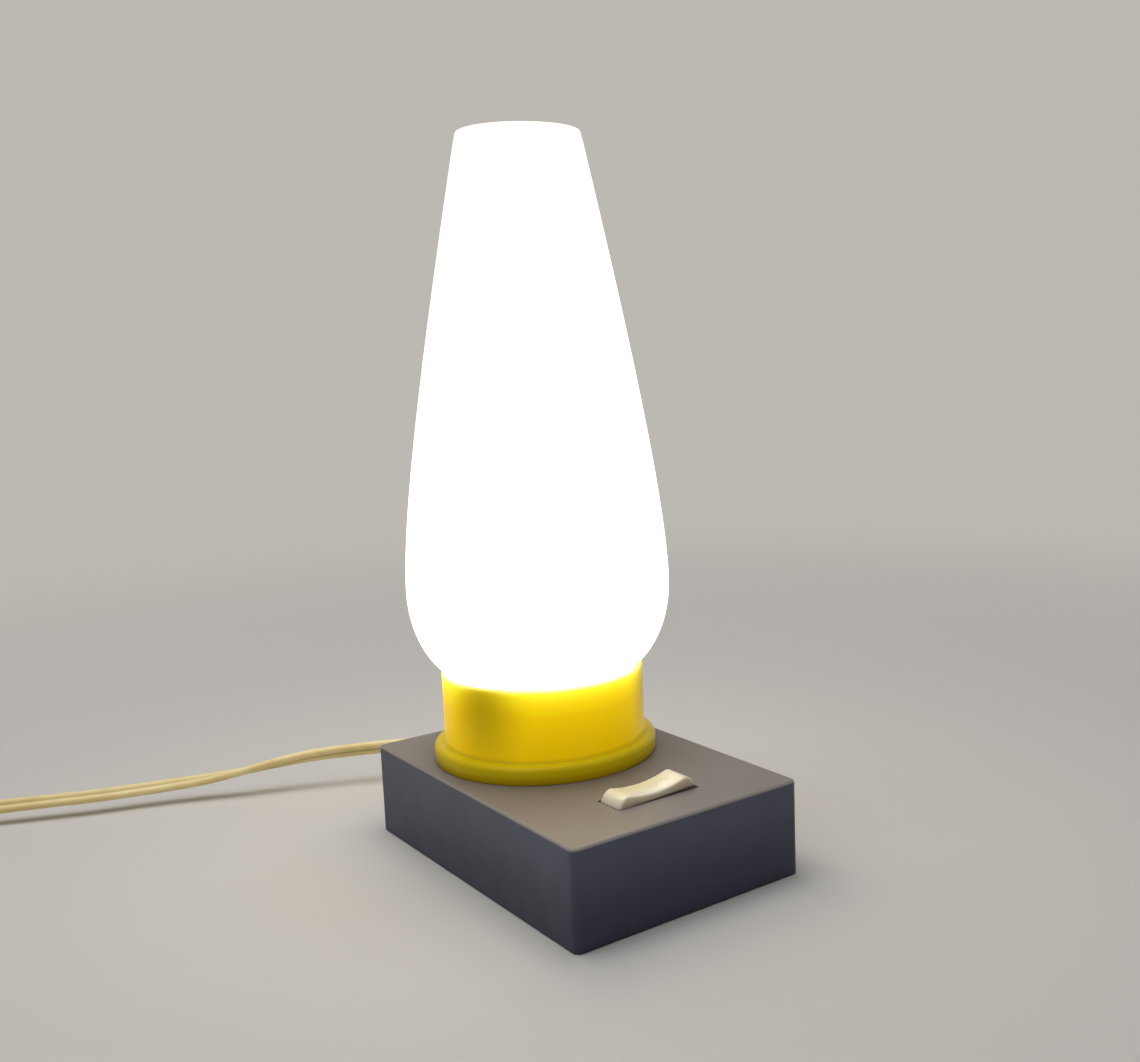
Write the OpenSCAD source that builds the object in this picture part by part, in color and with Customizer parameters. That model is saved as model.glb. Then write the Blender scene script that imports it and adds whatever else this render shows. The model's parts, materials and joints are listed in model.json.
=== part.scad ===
// Bedside table lamp: a moulded box base with a rocker switch in its top, a translucent collar
// and a tall opal glass shade that lifts out of the collar.
// +Z is up and the table is at z = 0. The rocker is at the front (-Y), the cord leaves at the back.

/* [Base] */
// Width of the base, side to side
base_w = 90; // [84:1:110]
// Depth of the base, front to back
base_d = 134; // [128:1:160]
// Height of the base's top face above the table
base_h = 33; // [32:0.5:42]
// Wall thickness of the moulding
wall = 2.5; // [2:0.1:3]
// Radius of the upright corners
corner_r = 2.5; // [1.5:0.1:5]
// Radius of the top edges
edge_r = 1; // [0.4:0.1:1.4]
// Gap between the table and the moulding
skirt_gap = 0.5; // [0.4:0.1:1.2]
// Thickness of the bottom plate
plate_t = 1.2; // [0.8:0.1:2]
// Diameter of a rubber foot
foot_d = 12; // [8:0.5:14]
// Height of a rubber foot
foot_h = 1.6; // [1.4:0.1:2]
// Diameter of the bottom plate's screws
plate_screw_d = 2.8; // [2.4:0.1:3.2]

/* [Collar] */
// Distance of the collar's axis in front of the base's back
collar_inset = 47.5; // [46:0.5:50]
// Diameter of the collar's flange
flange_d = 80.5; // [78:0.5:86]
// Height of the flange
flange_h = 6.2; // [5:0.1:7]
// Outside diameter of the collar's tube
collar_d = 72.8; // [71:0.2:76]
// Height of the collar's rim above the base
collar_h = 31.7; // [30:0.1:36]
// Wall thickness of the collar's tube
collar_wall = 2.2; // [1.8:0.1:2.6]
// Thickness of the collar's floor
collar_floor = 2.5; // [2:0.1:3]
// Height of a spring clip
clip_h = 13; // [11:0.5:15]
// Angle that a spring clip spans
clip_span = 28; // [16:1:40]

/* [Shade] */
// Largest diameter of the glass
shade_d = 94; // [90:0.5:94]
// Diameter of the open top
shade_top_d = 43; // [40:0.5:50]
// Height of the glass above the collar's rim
shade_h = 188; // [170:1:210]
// Height of the widest place above the collar's rim
belly_h = 30.3; // [28:0.1:34]
// Thickness of the glass
glass_t = 2.6; // [2:0.1:3.2]
// Depth of the neck inside the collar
neck_depth = 12; // [8:0.5:13]

/* [Switch] */
// Distance of the rocker's middle behind the base's front
switch_inset = 23; // [21:0.5:25]
// Length of the rocker
rocker_l = 31; // [28:0.5:32]
// Width of the rocker
rocker_w = 11; // [9:0.5:12]
// Height of the rocker's ends above the base when it is level
rocker_proud = 3.85; // [3:0.05:5]
// Depth of the hollow in the rocker's top
rocker_dip = 1.6; // [1.2:0.1:2.2]
// How far the rocker's ends lean in from the base's top to their own
rocker_lean = 2.2; // [1:0.1:3]
// Tilt of the rocker at each end of its travel
rocker_tilt = 2.5; // [1.5:0.1:3]
// Tilt of the contact bar at each end of its travel
bar_tilt = 6; // [4:0.5:7]
// Diameter of the rocker's pin
pin_d = 2.96; // [2.46:0.1:3.46]

/* [Lampholder and bulb] */
// Diameter of the threaded tube
tube_d = 10; // [9:0.1:10.4]
// Bore of the threaded tube
tube_bore = 7; // [6.8:0.1:7.4]
// Outside diameter of the lampholder's base
holder_d = 34; // [33:0.5:36]
// Height of the lampholder's base
holder_h = 14; // [13.5:0.1:15]
// Diameter of the bulb's globe
globe_d = 45; // [40:0.5:50]
// Diameter of the bulb's cap
cap_d = 22.2; // [21.8:0.1:22.4]
// Height of the lampholder's barrel
barrel_h = 21.5; // [20:0.5:23]
// Travel of a contact plunger
plunger_travel = 1.8; // [1:0.1:2]

/* [Cord] */
// Diameter of one core of the flat twin cord
core_d = 3.1; // [2.8:0.1:3.2]
// Height of the cord's exit above the table
exit_z = 14; // [13:0.5:15]
// Length of the strain relief outside the base
relief_l = 20; // [18:1:24]
// Outer radius of the coil's turns
coil_r = 40; // [38:1:46]
// Radial step from one turn of the coil to the next
coil_step = 3.7; // [3.7:0.1:4]
// Gap between the coil's two layers
coil_layer_gap = 0.5; // [0.5:0.1:1]
// Width of the tie round the coil
tie_w = 5; // [3:0.5:8]
// Width of the plug
plug_w = 35; // [33:0.5:38]
// Thickness of the plug
plug_t = 13.7; // [12:0.1:15]
// Length of the plug's body
plug_l = 24; // [20:1:30]
// Diameter of a plug pin
plug_pin_d = 4; // [3.6:0.1:4.8]
// Length of a plug pin
plug_pin_l = 19; // [17:0.5:20]
// Distance between the plug's pins
plug_pin_gap = 18.6; // [17:0.1:19]

/* [Hidden] */
$fn = 64;

// Clearances, and how far a cutting shape reaches past what it cuts
fit_gap = 0.05;
easy_gap = 0.2;
seat_gap = 0.3;
cut = 1;

// Base: heights of the bottom plate and of the inside of the top
plate_z = foot_h;
boss_z = plate_z + plate_t;
roof_z = base_h - wall;
boss_wall = 2.1;
boss_gap = 1;
boss_r = plate_screw_d / 2 + boss_wall;
boss_x = base_w / 2 - wall - boss_r - boss_gap;
boss_y = base_d / 2 - wall - boss_r - boss_gap;
boss_hole_r = plate_screw_d / 2 + fit_gap;
boss_hole_depth = 13;
boss_hole_top = boss_z + boss_hole_depth;
head_h = 1.1;
head_r = plate_screw_d;
foot_side_inset = 12;
foot_end_inset = 18;
foot_x = base_w / 2 - foot_side_inset;
foot_y = base_d / 2 - foot_end_inset;
collar_y = base_d / 2 - collar_inset;
switch_y = base_d / 2 - switch_inset;

// Collar and its clips, heights above the base
collar_r = collar_d / 2;
collar_in_r = collar_r - collar_wall;
ledge_w = 1;
clip_lip = 1.5;
ledge_z = collar_h - clip_lip - clip_h;
clip_t = 0.4;
clip_bow = 0.4;
clip_angles = [83, 203, 323];
rim_round = 0.6;
flange_round = 1.8;

// Shade: the neck slides inside the clips and the shoulder stands on the rim
neck_r = collar_in_r - 2 * fit_gap - clip_t - clip_bow - seat_gap;
shade_r = shade_d / 2;
mouth_r = shade_top_d / 2;
shoulder_w = 22;
belly_core_r = shade_r - shoulder_w;
shoulder_b = (belly_h - seat_gap) / sqrt(1 - pow((collar_in_r - belly_core_r) / shoulder_w, 2));
shoulder_start = acos((neck_r - belly_core_r) / shoulder_w);
belly_pull = 28;
mouth_pull = 66;
mouth_slope = 0.205;

// Switch, heights from the rocker's pivot, which is below the base's top face
pivot_depth = 6;
pivot_z = base_h - pivot_depth;
pin_clear = 0.04;
slot_gap = 0.95;
side_gap = 0.6;
slot_l = rocker_l + 2 * slot_gap;
slot_w = rocker_w + 2 * side_gap;
rocker_side = 0.7;
stem_r = 3;
stem_end = 8;
stem_roof = 1.2;
stem_bore_top = pin_d / 2 + stem_roof;
plunger_r = 1.9;
plunger_tip = 10.6;
plunger_l = 5;
bar_t = 0.8;
bar_room = 0.6;
bar_axis = plunger_tip + bar_t + bar_room;
bar_half = 8;
bar_w = 6;
contact_x = 7;
contact_top = bar_axis + contact_x * tan(bar_tilt);
body_wall = 2;
fulcrum_h = 3;
body_floor_top = bar_axis + fulcrum_h;
body_floor = body_floor_top + body_wall;
body_in_l = slot_l + 2 * seat_gap;
body_in_w = slot_w + 2 * rocker_side;
body_l = body_in_l + 2 * body_wall;
body_w = body_in_w + 2 * body_wall;
ear_t = 2.5;
ear_l = 8.5;
ear_drop = 4.5;
ear_z = pivot_depth - ear_drop;
ear_x = body_l / 2 + ear_drop;
ear_post_r = 3;
ear_hole = 4;
ear_hole_roof = 1;
screw_end = 0.5;
switch_screw_r = 1.05;
switch_head_r = 2.2;
switch_head_h = 1.4;
contact_r = 2;
rivet_r = 1;
tag_drop = 2.4;
tag_w = 3;
tag_t = 1;
common_w = 5;

// Lampholder, heights from its seat on the collar's floor
holder_r = holder_d / 2;
holder_wall = 2.5;
holder_floor = 3;
insulator_t = 5;
insulator_r = holder_r - holder_wall - 2 * fit_gap;
insulator_seat = 2;
cavity_r = insulator_r - insulator_seat;
cap_gap = 0.4;
barrel_in_r = cap_d / 2 + cap_gap;
barrel_t = 1.1;
barrel_r = barrel_in_r + barrel_t;
barrel_flange_t = 1.5;
boss_ring_gap = 0.7;
neck_boss_r = barrel_in_r - boss_ring_gap;
neck_boss_h = 5.5;
contact_gap = 12.6;
contact_plunger_r = 2.5;
plunger_top = holder_h + neck_boss_h + plunger_travel + seat_gap;
plunger_guide = 0.5;
plunger_bottom = holder_h + plunger_guide;
plunger_bore = 3;
plunger_bore_bottom = holder_h - plunger_bore;
spring_wire = 0.8;
ring_lip = 2.5;
ring_skirt = 4;
terminal_w = 5;
terminal_h = 4;
terminal_screw_r = 1.2;
terminal_head = 0.6;
tube_r = tube_d / 2;
tube_hole_r = tube_r + 2 * fit_gap;
tube_above = 1;
tube_top = holder_floor + tube_above;
tube_tail = 6.5;
washer_t = 1;
washer_w = 4;
washer_r = tube_r + washer_w;
nut_t = 3;
nut_flats = 15;

// Bulb, heights from the lampholder's seat
bulb_z = plunger_top + seat_gap;
pad_t = 0.5;
pad_r = 2.2;
vitrite_t = 3;
cap_h = 20;
cap_t = 0.4;
cap_r = cap_d / 2;
lug_h = 8;
lug_z = bulb_z + lug_h;
lug_r = 1.1;
lug_proud = 0.4;
lug_out = barrel_r + lug_proud;
slot_clear = 0.35;
slot_ease = 0.4;
twist = 18;
globe_r = globe_d / 2;
globe_t = 0.8;
globe_neck_r = cap_r - cap_t - easy_gap;
globe_neck_h = 4;
globe_sunk = 0.5;
globe_neck_z = bulb_z + pad_t + cap_h - globe_neck_h;
globe_z = bulb_z + pad_t + cap_h + globe_r - globe_sunk;
stem_drop = 2;
stem_top = globe_z - globe_r / 2 - stem_drop;
bulb_stem_r = 3;
stem_disc_t = 1.2;
filament_r = 8;
filament_wire_r = 0.5;
filament_drop = 3;
filament_z = globe_z - filament_drop;
support_r = 0.4;
support_foot_r = 3.5;

// Cord
cord_w = 2 * core_d;
exit_y = base_d / 2;
relief_flange = 2;
relief_r = 4.9;
relief_tip_wall = 1;
relief_tip_r = core_d + relief_tip_wall;
relief_hole_r = 4.5;
relief_lip = 1.5;
core_clear = 0.1;
web_w = 1.2;
web_h = 2;
clamp_inset = 10;
clamp_y = exit_y - wall - clamp_inset;
clamp_x = 8;
clamp_w = 7;
clamp_t = 2.4;
clamp_top = exit_z - core_d - core_clear;
clamp_boss_r = 3;
clamp_end = 1;
clamp_screw_r = 1.2;
clamp_head_r = 2.4;
clamp_head_h = 1.4;
clamp_hole = 9;
clamp_screw_l = 8;
inner_cord_l = 6.5;
inner_cord_end = clamp_y - inner_cord_l;
relief_end = exit_y + relief_l;
lead_r = 1.1;

// The cord's way from the strain relief's tip to the coil: sideways, back and height. Its twist is
// about its own line, and 90 degrees has the two cores one above the other.
cord_way = [[0, 0, 14], [0, 5, 14], [-1, 11, 14.1], [-4, 18, 14.2], [-9, 24.5, 14.2], [-15, 29, 14.2],
            [-22, 33, 14.1], [-30, 37, 13.9], [-40, 41.5, 13.6], [-50, 46, 12.9], [-61, 50, 11.7],
            [-73, 54.5, 9.9], [-85, 60, 8.3], [-98, 65.5, 7.4], [-112, 70.5, 7], [-127, 75.5, 6.9],
            [-144, 82.5, 6.9], [-162, 90.5, 6.6], [-178, 97.8, 5.5]];
cord_twist = [90, 90, 90, 86, 80, 72, 66, 63, 60, 52, 36, 14, -10, -22, -26, -26, -28, -40, -68];
cord_z_step = exit_z - cord_way[0][2];
cord_route = [for (p = cord_way)
    [p[0], relief_end + p[1], p[2] + cord_z_step * (p[2] / cord_way[0][2])]];

// Coil: turns in, half a turn of climb, turns out
coil_left = 218;
coil_back = 73.5;
coil_centre = [-coil_left, relief_end + coil_back];
coil_angle = 60;
turns_in = 3.5;
turns_climb = 0.5;
turns_out = 3 + 1 / 3;
rings_per_turn = 24;
tie_t = 0.8;
tie_gap = 0.35;
coil_z = tie_t + tie_gap + cord_w / 2;
coil_rise = cord_w + coil_layer_gap;
coil_in_r = coil_r - coil_step * turns_in;
coil_end_angle = coil_angle + 360 * (turns_in + turns_climb + turns_out);
coil_rings = round((turns_in + turns_climb + turns_out) * rings_per_turn);
coil_dip = 1.2;
tie_angle = 250;
plug_z = plug_t / 2;
plug_boot_l = 12;
plug_boot_wall = 1.2;
plug_neck_l = 0.4 * plug_l;
plug_run = 48;

function unit(v) = v / norm(v);
function turned(p, a) = [p[0] * cos(a) - p[1] * sin(a), p[0] * sin(a) + p[1] * cos(a)];
function bezier(p, t) = pow(1 - t, 3) * p[0] + 3 * t * pow(1 - t, 2) * p[1]
    + 3 * t * t * (1 - t) * p[2] + pow(t, 3) * p[3];
function arc(c, r, from, to, steps) =
    [for (i = [0:steps]) let (a = from + (to - from) * i / steps) c + r * [cos(a), sin(a)]];

// Sweep of a section along points. Directions at the two ends are given, the rest follow the line.
// Each section point is [across, up] and is turned about the line by the ring's twist.
function line_at(p, i, first, last) =
    i == 0 ? first : i == len(p) - 1 ? last : unit(unit(p[i + 1] - p[i]) + unit(p[i] - p[i - 1]));
function across(d) = abs(d[2]) > 0.99 ? [1, 0, 0] : unit(cross([0, 0, 1], d));
function ring(c, d, section, a) =
    let (s = across(d), u = cross(d, s)) [for (q = section) let (t = turned(q, a)) c + t[0] * s + t[1] * u];
function ring_walls(rings, n) =
    [for (i = [0:rings - 2], j = [0:n - 1]) let (k = (j + 1) % n)
        each [[i * n + j, (i + 1) * n + j, (i + 1) * n + k], [i * n + j, (i + 1) * n + k, i * n + k]]];
function fan(first, n) = [for (j = [1:n - 2]) [first, first + j, first + j + 1]];
function flipped(faces) = [for (f = faces) [f[2], f[1], f[0]]];

module sweep(points, section, first, last, twists) {
    n = len(section);
    last_ring = n * (len(points) - 1);
    body = [for (i = [0:len(points) - 1])
        each ring(points[i], line_at(points, i, first, last), section, twists[i])];
    faces = concat(fan(0, n), ring_walls(len(points), n), flipped(fan(last_ring, n)));
    polyhedron(body, faces, convexity = 6);
}

twin_section = [for (s = [1, -1], a = [-125:50:125]) s * core_d / 2 * [1 + cos(a), sin(a)]];
coil_section = core_d / 2 * [[2, 0], [1, 1], [-1, 1], [-2, 0], [-1, -1], [1, -1]];
wire_section = [for (a = [0:45:315]) lead_r * [cos(a), sin(a)]];

// Points of the coil
function coil_turn(i) = i / rings_per_turn;
function coil_radius(t) = t < turns_in ? coil_r - coil_step * t
    : t < turns_in + turns_climb ? coil_in_r - coil_dip * sin(180 * (t - turns_in) / turns_climb)
    : coil_in_r + coil_step * (t - turns_in - turns_climb);
function coil_climb(t) = max(0, min(1, (t - turns_in) / turns_climb));
function coil_point(t) =
    let (a = coil_angle + 360 * t, r = coil_radius(t))
    [coil_centre[0] + r * cos(a), coil_centre[1] + r * sin(a), coil_z + coil_rise * coil_climb(t)];
function heading(a) = [-sin(a), cos(a), 0];
coil_start_dir = heading(coil_angle);
coil_end_dir = heading(coil_end_angle);
coil_in = coil_point(0) - cord_w * coil_start_dir;
coil_out = coil_point(coil_turn(coil_rings)) + cord_w * coil_end_dir;
coil_path = concat([coil_in], [for (i = [0:coil_rings]) coil_point(coil_turn(i))], [coil_out]);

// The least gap between two turns of the coil, measured between the points of their sections
coil_points = [for (i = [0:len(coil_path) - 1])
    ring(coil_path[i], line_at(coil_path, i, coil_start_dir, coil_end_dir), coil_section, 90)];
coil_gaps = [for (i = [0:len(coil_path) - 1], j = [i + 12:1:len(coil_path) - 1])
    if (norm(coil_path[i] - coil_path[j]) < 1.6 * cord_w)
        min([for (p = coil_points[i], q = coil_points[j]) norm(p - q)])];
echo(coil_least_gap = min(coil_gaps));

// The stretch between the coil and the plug, which lies along -Y
plug_dir = [0, -1, 0];
plug_end = [coil_out[0], coil_out[1] - plug_run, plug_z];
plug_stretch = [for (i = [0:5]) let (t = i / 5, s = t * t * (3 - 2 * t))
    [coil_out[0], coil_out[1] - plug_run * t, coil_out[2] + (plug_z - coil_out[2]) * s]];

// Outline of the base's upright edge: the wall with the rounded top edge
function edge_outline(h) = concat([[0, 0], [corner_r, 0]],
    arc([corner_r - edge_r, h - edge_r], edge_r, 0, 90, 6), [[0, h]]);

module base_block(h) {
    x = base_w / 2 - corner_r;
    y = base_d / 2 - corner_r;
    translate([-x, -y, 0]) cube([2 * x, 2 * y, h]);
    for (a = [0, 180]) rotate(a) {
        translate([x, y, 0]) rotate([90, 0, 0]) linear_extrude(2 * y) polygon(edge_outline(h));
        translate([-x, y, 0]) rotate(90) rotate([90, 0, 0]) linear_extrude(2 * x) polygon(edge_outline(h));
        translate([x, y, 0]) rotate_extrude(angle = 90) polygon(edge_outline(h));
        translate([-x, y, 0]) rotate(90) rotate_extrude(angle = 90) polygon(edge_outline(h));
    }
}

module at_bosses() {
    for (x = [-boss_x, boss_x], y = [-boss_y, boss_y]) translate([x, y, 0]) children();
}

module post(r, from, to) {
    translate([0, 0, from]) cylinder(r = r, h = to - from);
}

module pipe(r, bore, from, to) {
    difference() {
        post(r, from, to);
        post(bore, from - cut, to + cut);
    }
}

module block(size, from, to) {
    translate([-size[0] / 2, -size[1] / 2, from]) cube([size[0], size[1], to - from]);
}

module along_y(r, l) {
    rotate([90, 0, 0]) cylinder(r = r, h = l, center = true);
}

module at_collar() {
    translate([0, collar_y, base_h]) children();
}

module at_holder() {
    translate([0, collar_y, base_h + collar_floor]) children();
}

module at_pivot() {
    translate([0, -switch_y, pivot_z]) children();
}

module pair(x) {
    for (s = [-1, 1]) translate([s * x, 0, 0]) children();
}

module base_housing() {
    color([0.42, 0.42, 0.45]) difference() {
        union() {
            difference() {
                translate([0, 0, skirt_gap]) base_block(base_h - skirt_gap);
                block([base_w - 2 * wall, base_d - 2 * wall], skirt_gap - cut, roof_z);
            }
            at_bosses() post(boss_r, boss_z, roof_z + cut / 2);
            translate([0, clamp_y, 0]) pair(clamp_x) post(clamp_boss_r, clamp_top, roof_z + cut / 2);
            translate([0, clamp_y, 0])
                block([clamp_x, 2 * clamp_t], exit_z + core_d + core_clear, roof_z + cut / 2);
            translate([0, -switch_y, 0]) pair(ear_x)
                post(ear_post_r, base_h - ear_drop, roof_z + cut / 2);
        }
        at_bosses() post(boss_hole_r, boss_z - cut, boss_hole_top);
        translate([0, clamp_y, 0]) pair(clamp_x)
            post(clamp_screw_r + fit_gap, clamp_top - cut, clamp_top + clamp_hole);
        translate([0, -switch_y, 0]) {
            pair(ear_x) post(switch_screw_r + fit_gap, roof_z - ear_hole, base_h - ear_hole_roof);
            block([slot_l, slot_w], roof_z - cut, base_h + cut);
        }
        translate([0, collar_y, 0]) post(tube_hole_r, roof_z - cut, base_h + cut);
        translate([0, exit_y - wall / 2, exit_z]) along_y(relief_hole_r, wall + 2 * cut);
    }
}

module base_plate() {
    color([0.62, 0.62, 0.62]) difference() {
        block([base_w - 2 * wall - 2 * seat_gap, base_d - 2 * wall - 2 * seat_gap], plate_z, boss_z);
        at_bosses() post(boss_hole_r + easy_gap, plate_z - cut, boss_z + cut);
    }
}

module base_plate_screws() {
    color([0.7, 0.7, 0.72]) at_bosses() {
        post(head_r, plate_z - head_h, plate_z);
        post(plate_screw_d / 2, plate_z, boss_hole_top - 2 * screw_end);
    }
}

module rubber_feet() {
    color([0.1, 0.1, 0.1]) for (x = [-foot_x, foot_x], y = [-foot_y, foot_y])
        translate([x, y, 0]) post(foot_d / 2, 0, foot_h);
}

module collar() {
    color([0.88, 0.75, 0.02, 0.85]) at_collar()
        rotate_extrude($fn = 96) polygon(concat(
            [[tube_hole_r, 0], [flange_d / 2, 0]],
            arc([flange_d / 2 - flange_round, flange_h - flange_round], flange_round, 0, 90, 6),
            [[collar_r, flange_h]],
            arc([collar_r - rim_round, collar_h - rim_round], rim_round, 0, 90, 4),
            [[collar_in_r, collar_h], [collar_in_r, ledge_z], [collar_in_r - ledge_w, ledge_z],
             [collar_in_r - ledge_w, collar_floor], [tube_hole_r, collar_floor]]));
}

// Bowed leaf between the collar's wall and the glass
function clip_edge(r) = [for (i = [0:8]) [r - clip_bow * sin(180 * i / 8), ledge_z + clip_h * i / 8]];
function backwards(p) = [for (i = [len(p) - 1:-1:0]) p[i]];

module shade_spring_clips() {
    outer = collar_in_r - fit_gap;
    color([0.75, 0.75, 0.77]) at_collar() for (a = clip_angles) rotate(a - clip_span / 2)
        rotate_extrude(angle = clip_span, $fn = 96)
            polygon(concat(clip_edge(outer - clip_t), backwards(clip_edge(outer))));
}

// Outside of the glass from the neck's foot to the mouth, [radius, height above the rim]
function glass_shoulder(n) = [for (i = [0:n]) let (a = shoulder_start * (1 - i / n))
    [belly_core_r + shoulder_w * cos(a), belly_h - shoulder_b * sin(a)]];
function glass_taper(n) = [for (i = [1:n]) bezier([[shade_r, belly_h], [shade_r, belly_h + belly_pull],
    [mouth_r + mouth_slope * mouth_pull, shade_h - mouth_pull], [mouth_r, shade_h]], i / n)];
glass_outside = concat(glass_shoulder(14), glass_taper(22));
function glass_normal(p, i) = let (d = unit(p[min(i + 1, len(p) - 1)] - p[max(i - 1, 0)])) [d[1], -d[0]];
glass_inside = [for (i = [0:len(glass_outside) - 1])
    i == 0 ? [neck_r - glass_t, glass_outside[0][1] + glass_t / 2]
    : i == len(glass_outside) - 1 ? [mouth_r - glass_t, shade_h]
    : glass_outside[i] - glass_t * glass_normal(glass_outside, i)];

module shade() {
    foot = -neck_depth;
    color([0.98, 0.97, 0.93]) at_collar() translate([0, 0, collar_h]) rotate_extrude($fn = 96)
        polygon(concat([[neck_r - glass_t, foot], [neck_r, foot]], glass_outside,
            backwards([for (p = glass_inside) if (p[0] >= neck_r - glass_t || p[1] > belly_h) p])));
}

module threaded_tube() {
    color([0.78, 0.66, 0.35]) at_holder()
        pipe(tube_r, tube_bore / 2, -collar_floor - wall - tube_tail, tube_top);
}

module lock_washer() {
    color([0.72, 0.72, 0.74]) translate([0, collar_y, roof_z])
        pipe(washer_r, tube_r + easy_gap, -washer_t, 0);
}

module tube_nut() {
    color([0.78, 0.66, 0.35]) translate([0, collar_y, roof_z - washer_t - nut_t]) difference() {
        cylinder(d = nut_flats / cos(30), h = nut_t, $fn = 6);
        post(tube_r + fit_gap, -cut, nut_t + cut);
    }
}

module holder_base() {
    color([0.12, 0.1, 0.09]) at_holder() difference() {
        post(holder_r, 0, holder_h);
        post(tube_r + fit_gap, -cut, holder_floor + cut);
        post(cavity_r, holder_floor, holder_h + cut);
        post(holder_r - holder_wall, holder_h - insulator_t, holder_h + cut);
    }
}

module holder_insulator() {
    color([0.9, 0.88, 0.82]) at_holder() difference() {
        union() {
            post(insulator_r, holder_h - insulator_t, holder_h);
            post(neck_boss_r, holder_h, holder_h + neck_boss_h);
        }
        pair(contact_gap / 2)
            post(contact_plunger_r + fit_gap, plunger_bore_bottom, holder_h + neck_boss_h + cut);
    }
}

// Barrel with two hooked slots: a way down and a level leg that holds the bulb's lugs
module barrel_slot() {
    half = lug_r + slot_clear;
    reach = atan(half / barrel_in_r) + slot_ease;
    rotate(-reach) rotate_extrude(angle = twist + 2 * reach)
        translate([barrel_in_r - cut, lug_z - half]) square([barrel_t + 2 * cut, 2 * half]);
    rotate(twist) translate([barrel_in_r - cut, -half, lug_z - half])
        cube([barrel_t + 2 * cut, 2 * half, barrel_h]);
}

module holder_barrel() {
    color([0.8, 0.68, 0.36]) at_holder() difference() {
        union() {
            post(barrel_r, holder_h, holder_h + barrel_h);
                post(holder_r - cut / 2, holder_h, holder_h + barrel_flange_t);
        }
        post(barrel_in_r, holder_h - cut, holder_h + barrel_h + cut);
        for (a = [90, 270]) rotate(a) barrel_slot();
    }
}

module holder_ring() {
    lip_z = holder_h + barrel_flange_t;
    color([0.12, 0.1, 0.09]) at_holder() difference() {
        post(holder_r + ring_lip, holder_h - ring_skirt, lip_z + ring_lip);
        post(holder_r + fit_gap, holder_h - ring_skirt - cut, lip_z);
        post(barrel_r + easy_gap, lip_z - cut, lip_z + ring_lip + cut);
    }
}

module contact_plunger(x) {
    color([0.82, 0.7, 0.38]) at_holder() translate([x, 0, 0])
        post(contact_plunger_r, plunger_bottom + plunger_travel, plunger_top);
}

module contact_plunger_left() {
    contact_plunger(-contact_gap / 2);
}

module contact_plunger_right() {
    contact_plunger(contact_gap / 2);
}

// Each plunger's spring, as the sleeve that its turns fill
module plunger_spring(x) {
    color([0.7, 0.7, 0.72]) at_holder() translate([x, 0, 0])
        pipe(contact_plunger_r - easy_gap, contact_plunger_r - easy_gap - spring_wire,
            plunger_bore_bottom, plunger_bottom + plunger_travel);
}

module plunger_spring_left() {
    plunger_spring(-contact_gap / 2);
}

module plunger_spring_right() {
    plunger_spring(contact_gap / 2);
}

terminal_top = holder_h - insulator_t;

module holder_terminals() {
    color([0.8, 0.68, 0.36]) at_holder() pair(contact_gap / 2) difference() {
        block([terminal_w, terminal_w], terminal_top - terminal_h, terminal_top);
        translate([0, -terminal_w / 2, terminal_top - terminal_h / 2])
            along_y(terminal_screw_r + fit_gap, terminal_w);
    }
}

module holder_terminal_screws() {
    color([0.7, 0.7, 0.72]) at_holder() pair(contact_gap / 2)
        translate([0, -terminal_w / 2, terminal_top - terminal_h / 2]) {
            translate([0, (terminal_w / 2 - easy_gap) / 2, 0])
                along_y(terminal_screw_r, terminal_w / 2 - easy_gap);
            translate([0, -terminal_head, 0]) along_y(terminal_screw_r + terminal_head, 2 * terminal_head);
        }
}

// Globe of the bulb: a sphere on a straight neck
function globe_outline(r, neck) = let (a = asin(neck / r))
    concat([[neck, globe_neck_z]], arc([0, globe_z], r, a - 90, 90, 20));

module bulb_globe() {
    inner = globe_outline(globe_r - globe_t, globe_neck_r - globe_t);
    color([1, 0.97, 0.88, 0.5]) at_holder() rotate_extrude()
        polygon(concat(globe_outline(globe_r, globe_neck_r), backwards(inner)));
}

module bulb_cap() {
    color([0.78, 0.76, 0.7]) at_holder() {
        pipe(cap_r, cap_r - cap_t, bulb_z + pad_t + cap_t, bulb_z + pad_t + cap_h);
        for (a = [90, 270]) rotate(a) translate([cap_r - cap_t, 0, lug_z]) rotate([0, 90, 0])
            cylinder(r = lug_r, h = lug_out - cap_r + cap_t);
    }
}

module bulb_insulator() {
    color([0.1, 0.1, 0.1]) at_holder()
        post(cap_r - cap_t - fit_gap, bulb_z + pad_t, bulb_z + pad_t + vitrite_t);
}

module bulb_contacts() {
    color([0.75, 0.75, 0.76]) at_holder() pair(contact_gap / 2) post(pad_r, bulb_z, bulb_z + pad_t);
}

module bulb_stem() {
    color([0.9, 0.95, 0.95, 0.5]) at_holder() {
        post(bulb_stem_r, bulb_z + pad_t + vitrite_t, stem_top);
        post(globe_neck_r - globe_t - fit_gap, globe_neck_z, globe_neck_z + stem_disc_t);
    }
}

module bulb_lead_wires() {
    foot = [support_foot_r, stem_top - bulb_stem_r];
    reach = [filament_r, filament_z] - foot;
    color([0.7, 0.66, 0.6]) at_holder() for (a = [0, 180]) rotate(a)
        translate([foot[0], 0, foot[1]]) rotate([0, atan(reach[0] / reach[1]), 0])
            cylinder(r = support_r, h = norm(reach) - filament_wire_r - 2 * fit_gap);
}

module bulb_filament() {
    color([1, 0.85, 0.5]) at_holder() translate([0, 0, filament_z]) rotate([90, 0, 0])
        rotate_extrude(angle = 180) translate([filament_r, 0]) circle(r = filament_wire_r, $fn = 16);
}

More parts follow.
